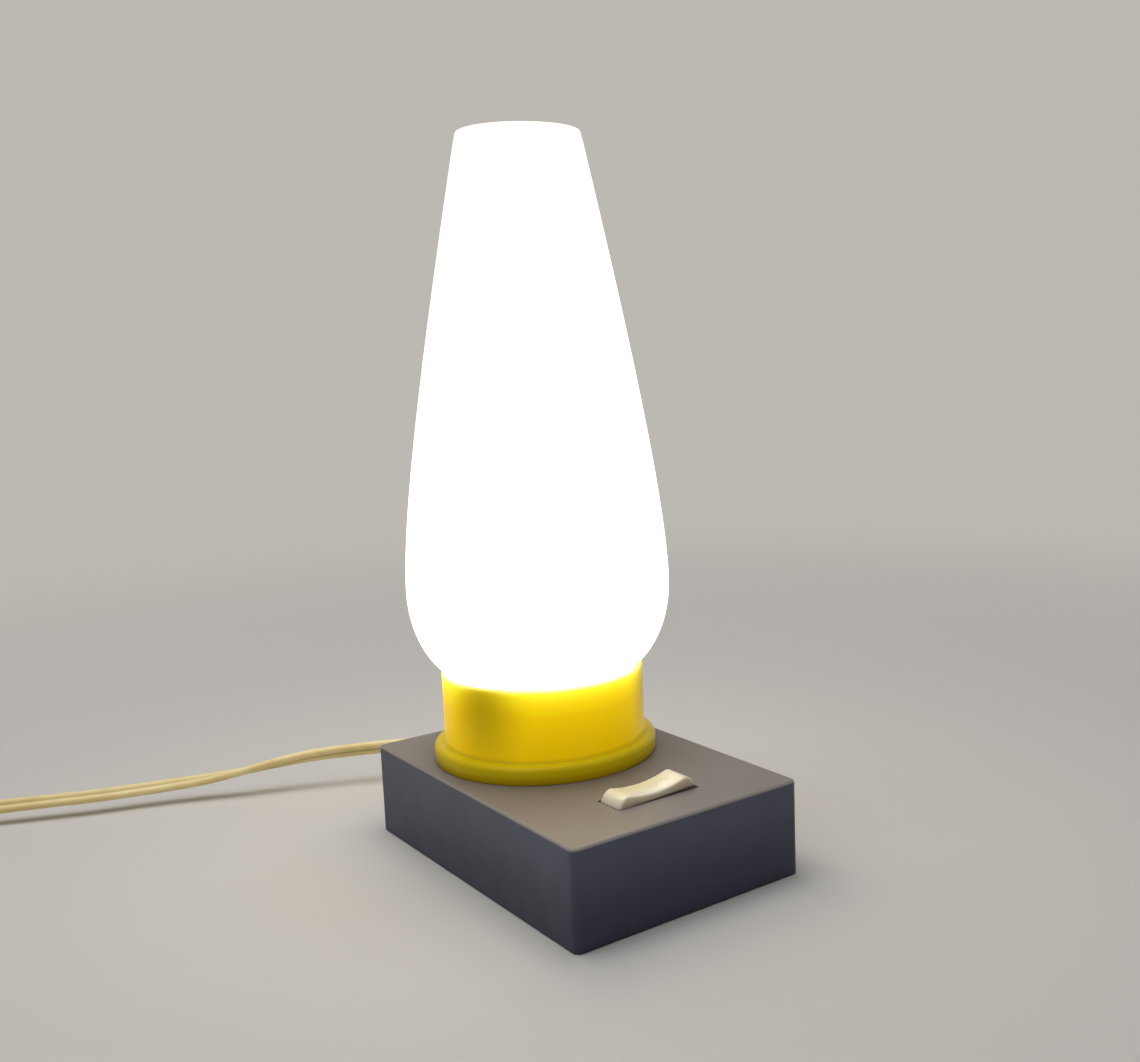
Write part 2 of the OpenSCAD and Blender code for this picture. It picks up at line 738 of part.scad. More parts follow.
// Side view of the rocker, level, about its pivot
rocker_top = pivot_depth + rocker_proud;
rocker_land = 0.2;
rocker_nose = 3.2;
rocker_lean_angle = atan(rocker_lean / rocker_proud);
rocker_nose_x = rocker_l / 2 - rocker_lean * (1 - rocker_nose / rocker_proud)
    - rocker_nose / cos(rocker_lean_angle);
rocker_nose_z = rocker_top - rocker_nose;
rocker_side_z = 2;
rocker_keel = 2.5;
rocker_keel_x = rocker_l / 2 - pivot_depth;
rocker_hollow_x = rocker_nose_x - rocker_land;
rocker_hollow_r = (rocker_hollow_x * rocker_hollow_x + rocker_dip * rocker_dip) / (2 * rocker_dip);
rocker_hollow_half = asin(rocker_hollow_x / rocker_hollow_r);
rocker_outline = concat(
    [[rocker_l / 2, pivot_depth]],
    arc([rocker_nose_x, rocker_nose_z], rocker_nose, rocker_lean_angle, 90, 6),
    arc([0, rocker_top - rocker_dip + rocker_hollow_r], rocker_hollow_r,
        rocker_hollow_half - 90, -rocker_hollow_half - 90, 16),
    arc([-rocker_nose_x, rocker_nose_z], rocker_nose, 90, 180 - rocker_lean_angle, 6),
    [[-rocker_l / 2, pivot_depth], [-rocker_l / 2, rocker_side_z], [-rocker_keel_x, -rocker_keel],
     [rocker_keel_x, -rocker_keel], [rocker_l / 2, rocker_side_z]]);

module rocker() {
    color([0.93, 0.9, 0.8]) at_pivot() rotate([0, -rocker_tilt, 0]) difference() {
        union() {
            rotate([90, 0, 0]) linear_extrude(rocker_w, center = true) polygon(rocker_outline);
            post(stem_r, -stem_end, 0);
        }
        along_y(pin_d / 2 + pin_clear, rocker_w + 2 * cut);
        post(plunger_r + fit_gap, -stem_end - cut, -stem_bore_top);
    }
}

module rocker_pin() {
    color([0.75, 0.75, 0.77]) at_pivot() along_y(pin_d / 2, body_w);
}

module rocker_plunger() {
    color([0.85, 0.84, 0.8]) at_pivot() rotate([0, -rocker_tilt, 0]) intersection() {
        post(plunger_r, -plunger_tip, -plunger_tip + plunger_l);
        translate([0, 0, -plunger_tip + 2 * plunger_r]) sphere(r = 2 * plunger_r);
    }
}

// The plunger's spring, as the sleeve that its turns fill
module rocker_spring() {
    color([0.7, 0.7, 0.72]) at_pivot() rotate([0, -rocker_tilt, 0])
        pipe(plunger_r - 2 * fit_gap, plunger_r - 2 * fit_gap - spring_wire,
            -plunger_tip + plunger_l, -stem_bore_top);
}

module switch_body() {
    color([0.16, 0.15, 0.15]) at_pivot() difference() {
        union() {
            block([body_l, body_w], -body_floor, pivot_depth - wall);
            pair(body_l / 2 + ear_l / 2)
                block([ear_l, body_w - 2 * body_wall], ear_z - ear_t, ear_z);
        }
        difference() {
            block([body_in_l, body_in_w], -body_floor_top, pivot_depth - wall + cut);
            translate([-contact_x, 0, 0])
                block([2 * contact_r, bar_w], -body_floor_top - cut, -contact_top);
        }
        along_y(pin_d / 2 + pin_clear / 2, body_w + 2 * cut);
        pair(ear_x) post(switch_screw_r + seat_gap, ear_z - ear_t - cut, pivot_depth);
        translate([contact_x, 0, 0]) post(rivet_r + fit_gap, -body_floor - cut, -body_floor_top + cut);
        block([tag_w + 2 * fit_gap, tag_t + 2 * fit_gap], -body_floor - cut, -body_floor_top + cut);
    }
}

module switch_contact_bar() {
    color([0.82, 0.7, 0.38]) at_pivot() translate([0, 0, -bar_axis]) rotate([0, bar_tilt, 0])
        block([2 * bar_half, bar_w], seat_gap, seat_gap + bar_t);
}

module switch_common() {
    color([0.82, 0.7, 0.38]) at_pivot() {
        foot = -body_floor_top + tag_t;
        block([common_w, common_w], -body_floor_top, foot);
        rotate([90, 0, 0]) linear_extrude(common_w, center = true)
            polygon([[-tag_w / 2, foot], [tag_w / 2, foot], [0, -bar_axis]]);
        block([tag_w, tag_t], -body_floor - tag_drop - tag_t, -body_floor_top);
    }
}

module switch_contact() {
    color([0.82, 0.7, 0.38]) at_pivot() translate([contact_x, 0, 0]) {
        post(contact_r, -body_floor_top, -contact_top);
        post(rivet_r, -body_floor, -body_floor_top);
        post(contact_r, -body_floor - tag_drop, -body_floor);
    }
}

module switch_screws() {
    seat = ear_z - ear_t;
    color([0.7, 0.7, 0.72]) at_pivot() pair(ear_x) {
        post(switch_head_r, seat - switch_head_h, seat);
        post(switch_screw_r, seat, pivot_depth - ear_hole_roof - screw_end);
    }
}

// Two round cores side by side, joined by a thin web, one above the other, along Y
module twin(grow, from, to) {
    for (s = [-1, 1]) translate([0, (from + to) / 2, exit_z + s * core_d / 2])
        along_y(core_d / 2 + grow, to - from);
    translate([-web_w / 2 - grow, from, exit_z - web_h / 2]) cube([web_w + 2 * grow, to - from, web_h]);
}

module cord_strain_relief() {
    color([0.87, 0.8, 0.6]) difference() {
        translate([0, exit_y, exit_z]) rotate([-90, 0, 0]) {
            post(relief_hole_r + relief_lip, -wall - relief_lip, -wall);
            post(relief_hole_r - fit_gap, -wall - cut / 2, cut / 2);
            post(relief_hole_r + relief_lip, 0, relief_flange);
            translate([0, 0, relief_flange])
                cylinder(r1 = relief_r, r2 = relief_tip_r, h = relief_l - relief_flange);
        }
        twin(core_clear, exit_y - wall - relief_lip - cut, relief_end + cut);
    }
}

module inner_cord() {
    color([0.87, 0.8, 0.6]) twin(0, inner_cord_end, relief_end);
}

module cord_clamp() {
    color([0.16, 0.15, 0.15]) translate([0, clamp_y, 0]) difference() {
        block([2 * (clamp_x + clamp_boss_r + clamp_end), clamp_w], clamp_top - clamp_t, clamp_top);
        pair(clamp_x) post(clamp_screw_r + easy_gap, clamp_top - clamp_t - cut, clamp_top + cut);
    }
}

module cord_clamp_screws() {
    color([0.7, 0.7, 0.72]) translate([0, clamp_y, 0]) pair(clamp_x) {
        post(clamp_head_r, clamp_top - clamp_t - clamp_head_h, clamp_top - clamp_t);
        post(clamp_screw_r, clamp_top - clamp_t, clamp_top + clamp_screw_l);
    }
}

module lead(points, first, last) {
    sweep(points, wire_section, first, last, [for (p = points) 0]);
}

// The leads' ways. Each row of a way is a point's share of the step sideways, of the distance along
// the base and of the height between the way's two ends.
lead_x = 1.7;
lead_side = 12;
lead_z = 6.5;
lead_tail = 4;
lead_gap = 0.1;
terminal_z = base_h + collar_floor + terminal_top - terminal_h / 2;
terminal_face = contact_gap / 2 - terminal_w / 2 - lead_gap;
tube_foot = base_h - wall - tube_tail;
tag_z = pivot_z - body_floor - tag_drop / 2;
live_way = [[0.42, 0.13, 0.67], [0.83, 0.26, 0.2], [1, 0.43, 0], [0.92, 0.63, 0], [0.75, 0.8, 0.07]];
neutral_way = [[0.6, 0.4, -0.2], [1.2, 0.68, -0.15], [1.2, 0.86, 0.05], [1, 0.965, 0.4]];
switched_way = [[-0.6, 0.3, 0], [-0.6, 0.53, 0], [0, 0.755, 0.085], [0.94, 0.92, 0.285],
                [1, 0.985, 0.66]];
function lead_points(way, side, from, to, low, high) =
    [for (p = way) [side * p[0], from + (to - from) * p[1], low + (high - low) * p[2]]];
function up_tube(s) = [for (p = [[lead_x, tube_foot], [lead_x, base_h], [lead_x, terminal_z - 3 * lead_r],
    [lead_x + 0.3 * lead_r, terminal_z - 1.4 * lead_r], [lead_x + lead_r, terminal_z - 0.35 * lead_r],
    [terminal_face, terminal_z]]) [s * p[0], collar_y, p[1]]];

module lead_live() {
    top = exit_z + core_d / 2;
    face = -switch_y + contact_r + lead_gap;
    color([0.45, 0.25, 0.12]) lead(concat(
        [[0, inner_cord_end, top], [0, inner_cord_end - lead_tail, top]],
        lead_points(live_way, lead_side, inner_cord_end, -switch_y, lead_z, exit_z),
        [[contact_x, face + common_w, tag_z], [contact_x, face, tag_z]]),
        [0, -1, 0], [0, -1, 0]);
}

module lead_neutral() {
    low = exit_z - core_d / 2;
    color([0.2, 0.35, 0.6]) lead(concat(
        [[0, inner_cord_end, low], [0, inner_cord_end - lead_tail, low]],
        lead_points(neutral_way, -lead_x, inner_cord_end, collar_y, exit_z, tube_foot), up_tube(-1)),
        [0, -1, 0], [-1, 0, 0]);
}

module lead_switched() {
    face = -switch_y + tag_t / 2 + lead_gap;
    color([0.15, 0.15, 0.15]) lead(concat(
        [[0, face, tag_z], [0, face + common_w, tag_z - lead_r / 2]],
        lead_points(switched_way, lead_x, -switch_y, collar_y, lead_z, tube_foot), up_tube(1)),
        [0, 1, 0], [1, 0, 0]);
}

module cord() {
    color([0.88, 0.8, 0.6])
        sweep(concat(cord_route, [coil_in]), twin_section, [0, 1, 0], coil_start_dir,
            concat(cord_twist, [-90]));
}

module cord_coil() {
    color([0.88, 0.8, 0.6])
        sweep(coil_path, coil_section, coil_start_dir, coil_end_dir, [for (p = coil_path) 90]);
}

module cord_plug_end() {
    color([0.88, 0.8, 0.6])
        sweep(plug_stretch, twin_section, coil_end_dir, plug_dir, [for (p = plug_stretch) 90]);
}

module coil_tie() {
    low = coil_in_r - coil_dip - core_d / 2 - tie_gap;
    high = coil_r + core_d / 2 + tie_gap;
    top = coil_z + coil_rise + cord_w / 2 + tie_gap;
    color([0.9, 0.9, 0.88]) translate(coil_centre) rotate(tie_angle) difference() {
        translate([low - tie_t, -tie_w / 2, 0]) cube([high - low + 2 * tie_t, tie_w, top + tie_t]);
        translate([low, -tie_w / 2 - cut, tie_t]) cube([high - low, tie_w + 2 * cut, top - tie_t]);
    }
}

// Flat plug with rounded short sides, its face towards -Y
module plug_slice(w, t, l) {
    rotate([90, 0, 0]) linear_extrude(l) {
        square([w - t, t], center = true);
        for (s = [-1, 1]) translate([s * (w - t) / 2, 0]) circle(d = t, $fn = 32);
    }
}

module plug_body() {
    boot_r = core_d + plug_boot_wall;
    color([0.9, 0.84, 0.66]) translate(plug_end) {
        translate([0, -plug_boot_l, 0]) hull() {
            plug_slice(2 * boot_r + core_d, 2 * boot_r, 1);
            translate([0, -plug_neck_l, 0]) plug_slice(plug_w, plug_t, 1);
        }
        translate([0, -plug_boot_l - plug_neck_l, 0]) plug_slice(plug_w, plug_t, plug_l - plug_neck_l);
        rotate([90, 0, 0]) cylinder(r1 = core_d + plug_boot_wall / 3, r2 = boot_r, h = plug_boot_l);
    }
}

module plug_pins() {
    tip = plug_pin_d / 4;
    color([0.8, 0.8, 0.8]) translate(plug_end + [0, -plug_boot_l - plug_l, 0]) rotate([90, 0, 0])
        pair(plug_pin_gap / 2) {
            post(plug_pin_d / 2, 0, plug_pin_l - tip);
            translate([0, 0, plug_pin_l - tip]) cylinder(d1 = plug_pin_d, d2 = plug_pin_d / 2, h = tip);
        }
}

base_housing();
base_plate();
base_plate_screws();
rubber_feet();
collar();
shade_spring_clips();
shade();
threaded_tube();
lock_washer();
tube_nut();
holder_base();
holder_insulator();
holder_barrel();
holder_ring();
contact_plunger_left();
contact_plunger_right();
plunger_spring_left();
plunger_spring_right();
holder_terminals();
holder_terminal_screws();
bulb_globe();
bulb_cap();
bulb_insulator();
bulb_contacts();
bulb_stem();
bulb_lead_wires();
bulb_filament();
rocker();
rocker_pin();
rocker_plunger();
rocker_spring();
switch_body();
switch_contact_bar();
switch_common();
switch_contact();
switch_screws();
cord_strain_relief();
cord_clamp();
cord_clamp_screws();
inner_cord();
lead_live();
lead_neutral();
lead_switched();
cord();
cord_coil();
cord_plug_end();
coil_tie();
plug_body();
plug_pins();
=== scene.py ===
import json
import math

import bmesh
import bpy
from mathutils import Matrix, Vector


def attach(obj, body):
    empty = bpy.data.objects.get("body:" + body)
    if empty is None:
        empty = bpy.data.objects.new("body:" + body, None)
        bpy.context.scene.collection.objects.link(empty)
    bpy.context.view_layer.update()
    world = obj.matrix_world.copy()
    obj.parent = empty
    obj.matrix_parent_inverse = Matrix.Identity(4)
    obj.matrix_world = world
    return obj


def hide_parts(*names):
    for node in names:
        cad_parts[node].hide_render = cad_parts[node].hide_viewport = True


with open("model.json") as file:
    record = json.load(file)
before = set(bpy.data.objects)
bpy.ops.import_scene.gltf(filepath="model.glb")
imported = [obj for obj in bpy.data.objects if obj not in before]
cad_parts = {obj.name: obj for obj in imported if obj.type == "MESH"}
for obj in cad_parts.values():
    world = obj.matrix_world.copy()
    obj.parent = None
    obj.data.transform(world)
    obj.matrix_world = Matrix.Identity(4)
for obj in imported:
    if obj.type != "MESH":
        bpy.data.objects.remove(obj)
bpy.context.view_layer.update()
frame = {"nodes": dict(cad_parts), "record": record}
pieceSlots = {part["node"]: part["material_slot"] for part in frame["record"]["subparts"]}

mm = 0.001
lampAxis = (0, 19.5)  # x and y of the line that collar, glass and bulb stand on, in mm
onPlane = 0.1  # a point this near to a plane, in mm, counts as on it
samePlace = 0.002  # two points this near, in mm, are made one
sharpAngle = math.radians(40)  # an edge that turns more than this is a corner
looksAlong = 0.9  # a face with this much of its normal along an axis looks that way


# camera: where the photo was taken from, worked out from the base's corners, the collar and the glass;
# the picture is cut from a wider one, so the lens points a little to one side of its middle
view = {"lens": 39.50, "place": (-0.2308, -0.3642, 0.1782), "yaw": 37.29, "pitch": 8.16, "roll": -1.79,
        "shift": (-0.0896, -0.0046)}


def addCamera():
    bpy.ops.object.camera_add()
    camera = bpy.context.active_object
    camera.data.lens = view["lens"]
    camera.data.sensor_fit = "HORIZONTAL"
    camera.data.shift_x, camera.data.shift_y = view["shift"]
    turn = Matrix.Rotation(math.radians(-view["yaw"]), 4, "Z")
    turn = turn @ Matrix.Rotation(math.radians(90 - view["pitch"]), 4, "X")
    turn = turn @ Matrix.Rotation(math.radians(view["roll"]), 4, "Z")
    camera.matrix_world = Matrix.Translation(view["place"]) @ turn
    bpy.context.scene.camera = camera
    print("camera set")


# modelling helpers, with sizes in mm
def selectOnly(obj):
    if bpy.context.mode != "OBJECT":
        bpy.ops.object.mode_set(mode="OBJECT")
    bpy.ops.object.select_all(action="DESELECT")
    obj.select_set(True)
    bpy.context.view_layer.objects.active = obj


def startEdit(obj):
    selectOnly(obj)
    bpy.ops.object.mode_set(mode="EDIT")
    bpy.ops.mesh.select_all(action="SELECT")


def endEdit(outwards=False):
    if outwards:
        bpy.ops.mesh.select_all(action="SELECT")
        bpy.ops.mesh.normals_make_consistent(inside=False)
    bpy.ops.object.mode_set(mode="OBJECT")


def pick(obj, kind, test):
    bpy.ops.mesh.select_mode(type=kind)
    bpy.ops.mesh.select_all(action="DESELECT")
    mesh = bmesh.from_edit_mesh(obj.data)
    parts = {"VERT": mesh.verts, "EDGE": mesh.edges, "FACE": mesh.faces}[kind]
    for part in parts:
        if test(part):
            part.select_set(True)
    bmesh.update_edit_mesh(obj.data)


def bothEnds(edge, test):
    return all(test(vert.co / mm) for vert in edge.verts)


def runsAlong(edge, axis):
    start, end = (getattr(vert.co, axis) for vert in edge.verts)
    return abs(end - start) > mm


def isSharp(edge):
    return edge.is_manifold and edge.calc_face_angle() > sharpAngle


def bevelEdges(obj, test, width, steps):
    pick(obj, "EDGE", test)
    bpy.ops.mesh.bevel(offset=width * mm, segments=steps, affect="EDGES")


# what was just added, named and with its place in its mesh
def newObject(name):
    bpy.ops.object.transform_apply(location=True, rotation=True, scale=True)
    obj = bpy.context.active_object
    obj.name = name
    obj.data.name = name
    return obj


def addBox(name, low, high):
    bpy.ops.object.select_all(action="DESELECT")
    middle = [(a + b) / 2 * mm for a, b in zip(low, high)]
    size = [(b - a) * mm for a, b in zip(low, high)]
    bpy.ops.mesh.primitive_cube_add(size=1, location=middle, scale=size)
    return newObject(name)


def applyModifier(obj, kind, **settings):
    selectOnly(obj)
    modifier = obj.modifiers.new(kind.lower(), kind)
    for key, value in settings.items():
        setattr(modifier, key, value)
    bpy.ops.object.modifier_apply(modifier=modifier.name)


def cutAway(obj, cutter):
    applyModifier(obj, "BOOLEAN", operation="DIFFERENCE", solver="EXACT", object=cutter)
    bpy.data.objects.remove(cutter)


# a turned piece: a ring is drawn out from one [radius, height] to the next; its ends are filled flat,
# or close on the axis, or stay open where the last ring meets the first
def turnPiece(name, rings, axis=(0, 0), sides=96, filled=True):
    bpy.ops.object.select_all(action="DESELECT")
    radius, height = rings[0]
    bpy.ops.mesh.primitive_circle_add(vertices=sides, radius=radius * mm,
                                      location=(axis[0] * mm, axis[1] * mm, height * mm))
    obj = newObject(name)
    startEdit(obj)
    if filled:
        bpy.ops.mesh.edge_face_add()
        bpy.ops.mesh.select_mode(type="EDGE")
    for nextRadius, nextHeight in rings[1:]:
        rise = (0, 0, (nextHeight - height) * mm)
        bpy.ops.mesh.extrude_edges_move(TRANSFORM_OT_translate={"value": rise})
        if nextRadius == 0:
            bpy.ops.mesh.merge(type="CENTER")
            break
        scale = nextRadius / radius
        bpy.ops.transform.resize(value=(scale, scale, 1),
                                 center_override=(axis[0] * mm, axis[1] * mm, nextHeight * mm))
        radius, height = nextRadius, nextHeight
    else:
        if filled:
            bpy.ops.mesh.edge_face_add()
    bpy.ops.mesh.select_all(action="SELECT")
    bpy.ops.mesh.remove_doubles(threshold=samePlace * mm)
    endEdit(outwards=True)
    return obj


def roundCorner(centre, radius, start, end, steps):
    points = []
    for step in range(steps + 1):
        angle = math.radians(start + (end - start) * step / steps)
        points.append((centre[0] + radius * math.cos(angle), centre[1] + radius * math.sin(angle)))
    return points


def turnAndMove(obj, angle, axis, place):
    selectOnly(obj)
    turn = Matrix.Rotation(math.radians(angle), 4, axis)
    obj.matrix_world = Matrix.Translation(Vector(place) * mm) @ turn
    bpy.ops.object.transform_apply(location=True, rotation=True, scale=True)


def joinAll(name, parts):
    selectOnly(parts[0])
    for part in parts[1:]:
        part.select_set(True)
    bpy.ops.object.join()
    return newObject(name)


# a piece that stands near each corner of the base: modelled once in the middle and copied out
def fourOf(name, first, place):
    copies = []
    for side, end in ((1, 1), (-1, 1), (1, -1), (-1, -1)):
        made = first.copy()
        made.data = first.data.copy()
        bpy.context.collection.objects.link(made)
        turnAndMove(made, 0, "Z", (side * place[0], end * place[1], 0))
        copies.append(made)
    bpy.data.objects.remove(first)
    return joinAll(name, copies)


def finishPiece(obj, material, body, nodes, smoothAngle=35, flatFaces=False):
    selectOnly(obj)
    bpy.ops.object.shade_smooth_by_angle(angle=math.radians(smoothAngle))
    if flatFaces:
        applyModifier(obj, "WEIGHTED_NORMAL", keep_sharp=True)
    obj.data.materials.clear()
    obj.data.materials.append(material)
    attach(obj, body)
    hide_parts(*nodes)
    print(obj.name, "made,", len(obj.data.polygons), "faces")


# material helpers
def linear(hexColour):
    channels = [int(hexColour[i:i + 2], 16) / 255 for i in (1, 3, 5)]
    return [c / 12.92 if c <= 0.04045 else ((c + 0.055) / 1.055) ** 2.4 for c in channels] + [1]


# a link comes from a socket, or from a node's first output that is in use
def joinUp(node, links):
    for socket, source in links.items():
        if isinstance(source, bpy.types.Node):
            source = next(output for output in source.outputs if output.enabled)
        node.id_data.links.new(source, node.inputs[socket])


def addNode(tree, kind, values=None, links=None, **settings):
    node = tree.nodes.new("ShaderNode" + kind)
    for key, value in settings.items():
        setattr(node, key, value)
    for socket, value in (values or {}).items():
        node.inputs[socket].default_value = value
    joinUp(node, links or {})
    return node


def startMaterial(name, values):
    material = bpy.data.materials.new(name)
    material.use_nodes = True
    tree = material.node_tree
    shader = tree.nodes["Principled BSDF"]
    for socket, value in values.items():
        shader.inputs[socket].default_value = value
    place = addNode(tree, "TexCoord").outputs["Object"]
    return material, tree, shader, place


def rampStops(node, stops):
    elements = node.color_ramp.elements
    while len(elements) < len(stops):
        elements.new(0.5)
    for element, (position, colour) in zip(elements, stops):
        element.position = position
        element.color = linear(colour) if isinstance(colour, str) else (colour, colour, colour, 1)


# grey ABS from a spark-eroded mould: satin with a fine even grain, cloudy where it has been handled,
# paler where its edges are worn, with a painted highlight on them, warmed on its top by dust and by
# painted warm lamplight, and painted shade darkens its sides towards the foot
baseFinish = {"dark": "#484e65", "light": "#545a71", "cloud": 30, "scuff": 6, "rough": (0.38, 0.54),
              "dustAndWarmLight": "#9b8f7d", "dustAndLightSlope": 0.6, "dustAndLightCover": 0.95, "dustAndLightPatches": (0.4, 0.6),
              "edge": "#c0b6a4", "edgeWearAndHighlight": 2.2,
              "paintedShade": "#1e2640", "paintedShadeLow": 8, "paintedShadeTop": 32, "paintedShadeCover": 0.8, "paintedShadePatches": (0.85, 1.15),
              "grain": 0.8, "grainDepth": 0.06, "grainStrength": 0.22}


def greyAbs():
    f = baseFinish
    material, tree, shader, place = startMaterial("greyAbs", {"IOR": 1.54, "Specular IOR Level": 0.5})
    cloud = addNode(tree, "TexNoise", {"Scale": 1 / (f["cloud"] * mm), "Detail": 5}, {"Vector": place})
    tone = addNode(tree, "ValToRGB", links={"Fac": cloud})
    rampStops(tone, [(0.3, f["dark"]), (0.7, f["light"])])
    speck = addNode(tree, "TexNoise", {"Scale": 1 / (f["scuff"] * mm), "Detail": 8, "Roughness": 0.7},
                    {"Vector": place})
    dustAndLightPatch, paintedShadePatch, rough = [
        addNode(tree, "MapRange", {"To Min": f[name][0], "To Max": f[name][1]}, {"Value": speck})
        for name in ("dustAndLightPatches", "paintedShadePatches", "rough")]
    # dust settles where the surface looks up, and the lamp's warm light on the top is painted in with it
    normal = addNode(tree, "NewGeometry").outputs["Normal"]
    up = addNode(tree, "SeparateXYZ", links={"Vector": normal}).outputs["Z"]
    level = addNode(tree, "MapRange", {"From Min": f["dustAndLightSlope"], "To Max": f["dustAndLightCover"]}, {"Value": up})
    dustAndWarmLight = addNode(tree, "Math", links={0: level, 1: dustAndLightPatch}, operation="MULTIPLY")
    dustyAndWarmLit = addNode(tree, "Mix", {"B": linear(f["dustAndWarmLight"])}, {"Factor": dustAndWarmLight, "A": tone}, data_type="RGBA")
    # the rounded edges look half up: rubbing has paled them, and a painted highlight lies along them
    side = addNode(tree, "Math", {0: 1}, {1: up}, operation="SUBTRACT")
    turning = addNode(tree, "Math", links={0: side, 1: up}, operation="MULTIPLY")
    wearAndHighlight = addNode(tree, "Math", {1: f["edgeWearAndHighlight"]}, {0: turning}, operation="MULTIPLY", use_clamp=True)
    worn = addNode(tree, "Mix", {"B": linear(f["edge"])}, {"Factor": wearAndHighlight, "A": dustyAndWarmLit}, data_type="RGBA")
    # painted shade on the sides, darker and bluer towards the foot
    height = addNode(tree, "SeparateXYZ", links={"Vector": place}).outputs["Z"]
    foot = addNode(tree, "MapRange", {"From Min": f["paintedShadeLow"] * mm, "From Max": f["paintedShadeTop"] * mm,
                                      "To Min": f["paintedShadeCover"], "To Max": 0},
                   {"Value": height}, interpolation_type="SMOOTHSTEP")
    paintedShade = addNode(tree, "Math", links={0: foot, 1: paintedShadePatch}, operation="MULTIPLY")
    colour = addNode(tree, "Mix", {"B": linear(f["paintedShade"])}, {"Factor": paintedShade, "A": worn}, data_type="RGBA")
    # the mould's grain is about 0.1 mm, drawn coarser so that it shows
    grain = addNode(tree, "TexNoise", {"Scale": 1 / (f["grain"] * mm), "Detail": 3}, {"Vector": place})
    bump = addNode(tree, "Bump", {"Strength": f["grainStrength"], "Distance": f["grainDepth"] * mm},
                   {"Height": grain})
    joinUp(shader, {"Base Color": colour, "Roughness": rough, "Normal": bump})
    return material


# yellow polystyrene, moulded and glossy: the bulb's light that fills it is painted into its colour and glow,
# brightest under the glass and fading to a dark foot, and the spring clips behind it show as soft painted
# shadows; tone and glow are given from its foot, 0, to its rim, 1
collarFinish = {"tone": [(0, "#927600"), (0.1, "#b59e06"), (0.19, "#bda90a"), (0.26, "#dcb600"),
                         (0.7, "#e6be00"), (0.85, "#f4d412"), (0.96, "#fdea2c"), (1, "#fff78a")],
                "glow": [(0, 0.22), (0.1, 0.3), (0.19, 0.36), (0.26, 0.58), (0.66, 0.74), (0.83, 0.78),
                         (0.93, 0.88), (1, 1.35)],
                "flow": 9, "flowStretch": 0.25, "wander": 0.01,
                "clipAngles": (83, 203, 323), "clipHeight": 59.5, "clipReach": 20, "clipFlat": 0.62,
                "shadow": "#b89c00", "clipShade": 0.8, "clipGlow": 0.4}


def yellowStyrene():
    f = collarFinish
    material, tree, shader, place = startMaterial("yellowStyrene", {
        "IOR": 1.59, "Roughness": 0.22, "Specular IOR Level": 0.08})
    height = addNode(tree, "SeparateXYZ", links={"Vector": place}).outputs["Z"]
    foot, rim = collar["seat"], collar["seat"] + collar["height"]
    climb = addNode(tree, "MapRange", {"From Min": foot * mm, "From Max": rim * mm}, {"Value": height})
    # the plastic flowed upwards in the mould
    streak = addNode(tree, "Mapping", {"Scale": (1, 1, f["flowStretch"])}, {"Vector": place})
    flow = addNode(tree, "TexNoise", {"Scale": 1 / (f["flow"] * mm), "Detail": 3}, {"Vector": streak})
    wander = addNode(tree, "MapRange", {"To Min": -f["wander"], "To Max": f["wander"]}, {"Value": flow})
    level = addNode(tree, "Math", links={0: climb, 1: wander}, operation="ADD")
    tone = addNode(tree, "ValToRGB", links={"Fac": level})
    rampStops(tone, f["tone"])
    # each clip's painted shadow is a patch that is taller than wide
    squat = Vector((1, 1, f["clipFlat"]))
    flattened = addNode(tree, "Mapping", {"Scale": squat}, {"Vector": place})
    patches = []
    for angle in f["clipAngles"]:
        turn = math.radians(angle)
        centre = Vector((lampAxis[0] + collar["tube"] * math.cos(turn),
                         lampAxis[1] + collar["tube"] * math.sin(turn), f["clipHeight"]))
        away = addNode(tree, "VectorMath", {1: centre * squat * mm}, {0: flattened}, operation="DISTANCE")
        patches.append(addNode(tree, "MapRange", {"From Max": f["clipReach"] * mm, "To Min": 1, "To Max": 0},
                               {"Value": away}, interpolation_type="SMOOTHSTEP"))
    shadow = patches[0]
    for patch in patches[1:]:
        shadow = addNode(tree, "Math", links={0: shadow, 1: patch}, operation="MAXIMUM")
    dim = addNode(tree, "Math", {1: f["clipShade"]}, {0: shadow}, operation="MULTIPLY")
    colour = addNode(tree, "Mix", {"B": linear(f["shadow"])}, {"Factor": dim, "A": tone}, data_type="RGBA")
    # the painted light in the wall, weaker where a clip stands in its way
    glow = addNode(tree, "ValToRGB", links={"Fac": level})
    rampStops(glow, f["glow"])
    clear = addNode(tree, "MapRange", {"To Min": 1, "To Max": f["clipGlow"]}, {"Value": dim})
    lit = addNode(tree, "Math", links={0: glow, 1: clear}, operation="MULTIPLY")
    joinUp(shader, {"Base Color": colour, "Emission Color": colour, "Emission Strength": lit})
    return material


# opal glass, blown and lit from inside, its light painted in as a glow: an even milky white, brightest at and
# below the belly and weaker and creamier towards the mouth, with a faint unevenness in the opal layer and a
# fire-polished gloss; the clear inner wall has less painted glow than the opal outside, so the mouth shows
# from above
glassFinish = {"body": "#b4b0a6", "bright": "#ffefd4", "cream": "#fff4de", "cloud": 45, "wander": 0.05,
               "glowFoot": 2.6, "glowMouth": 1.2, "glowInside": 0.38, "wallChange": 3}


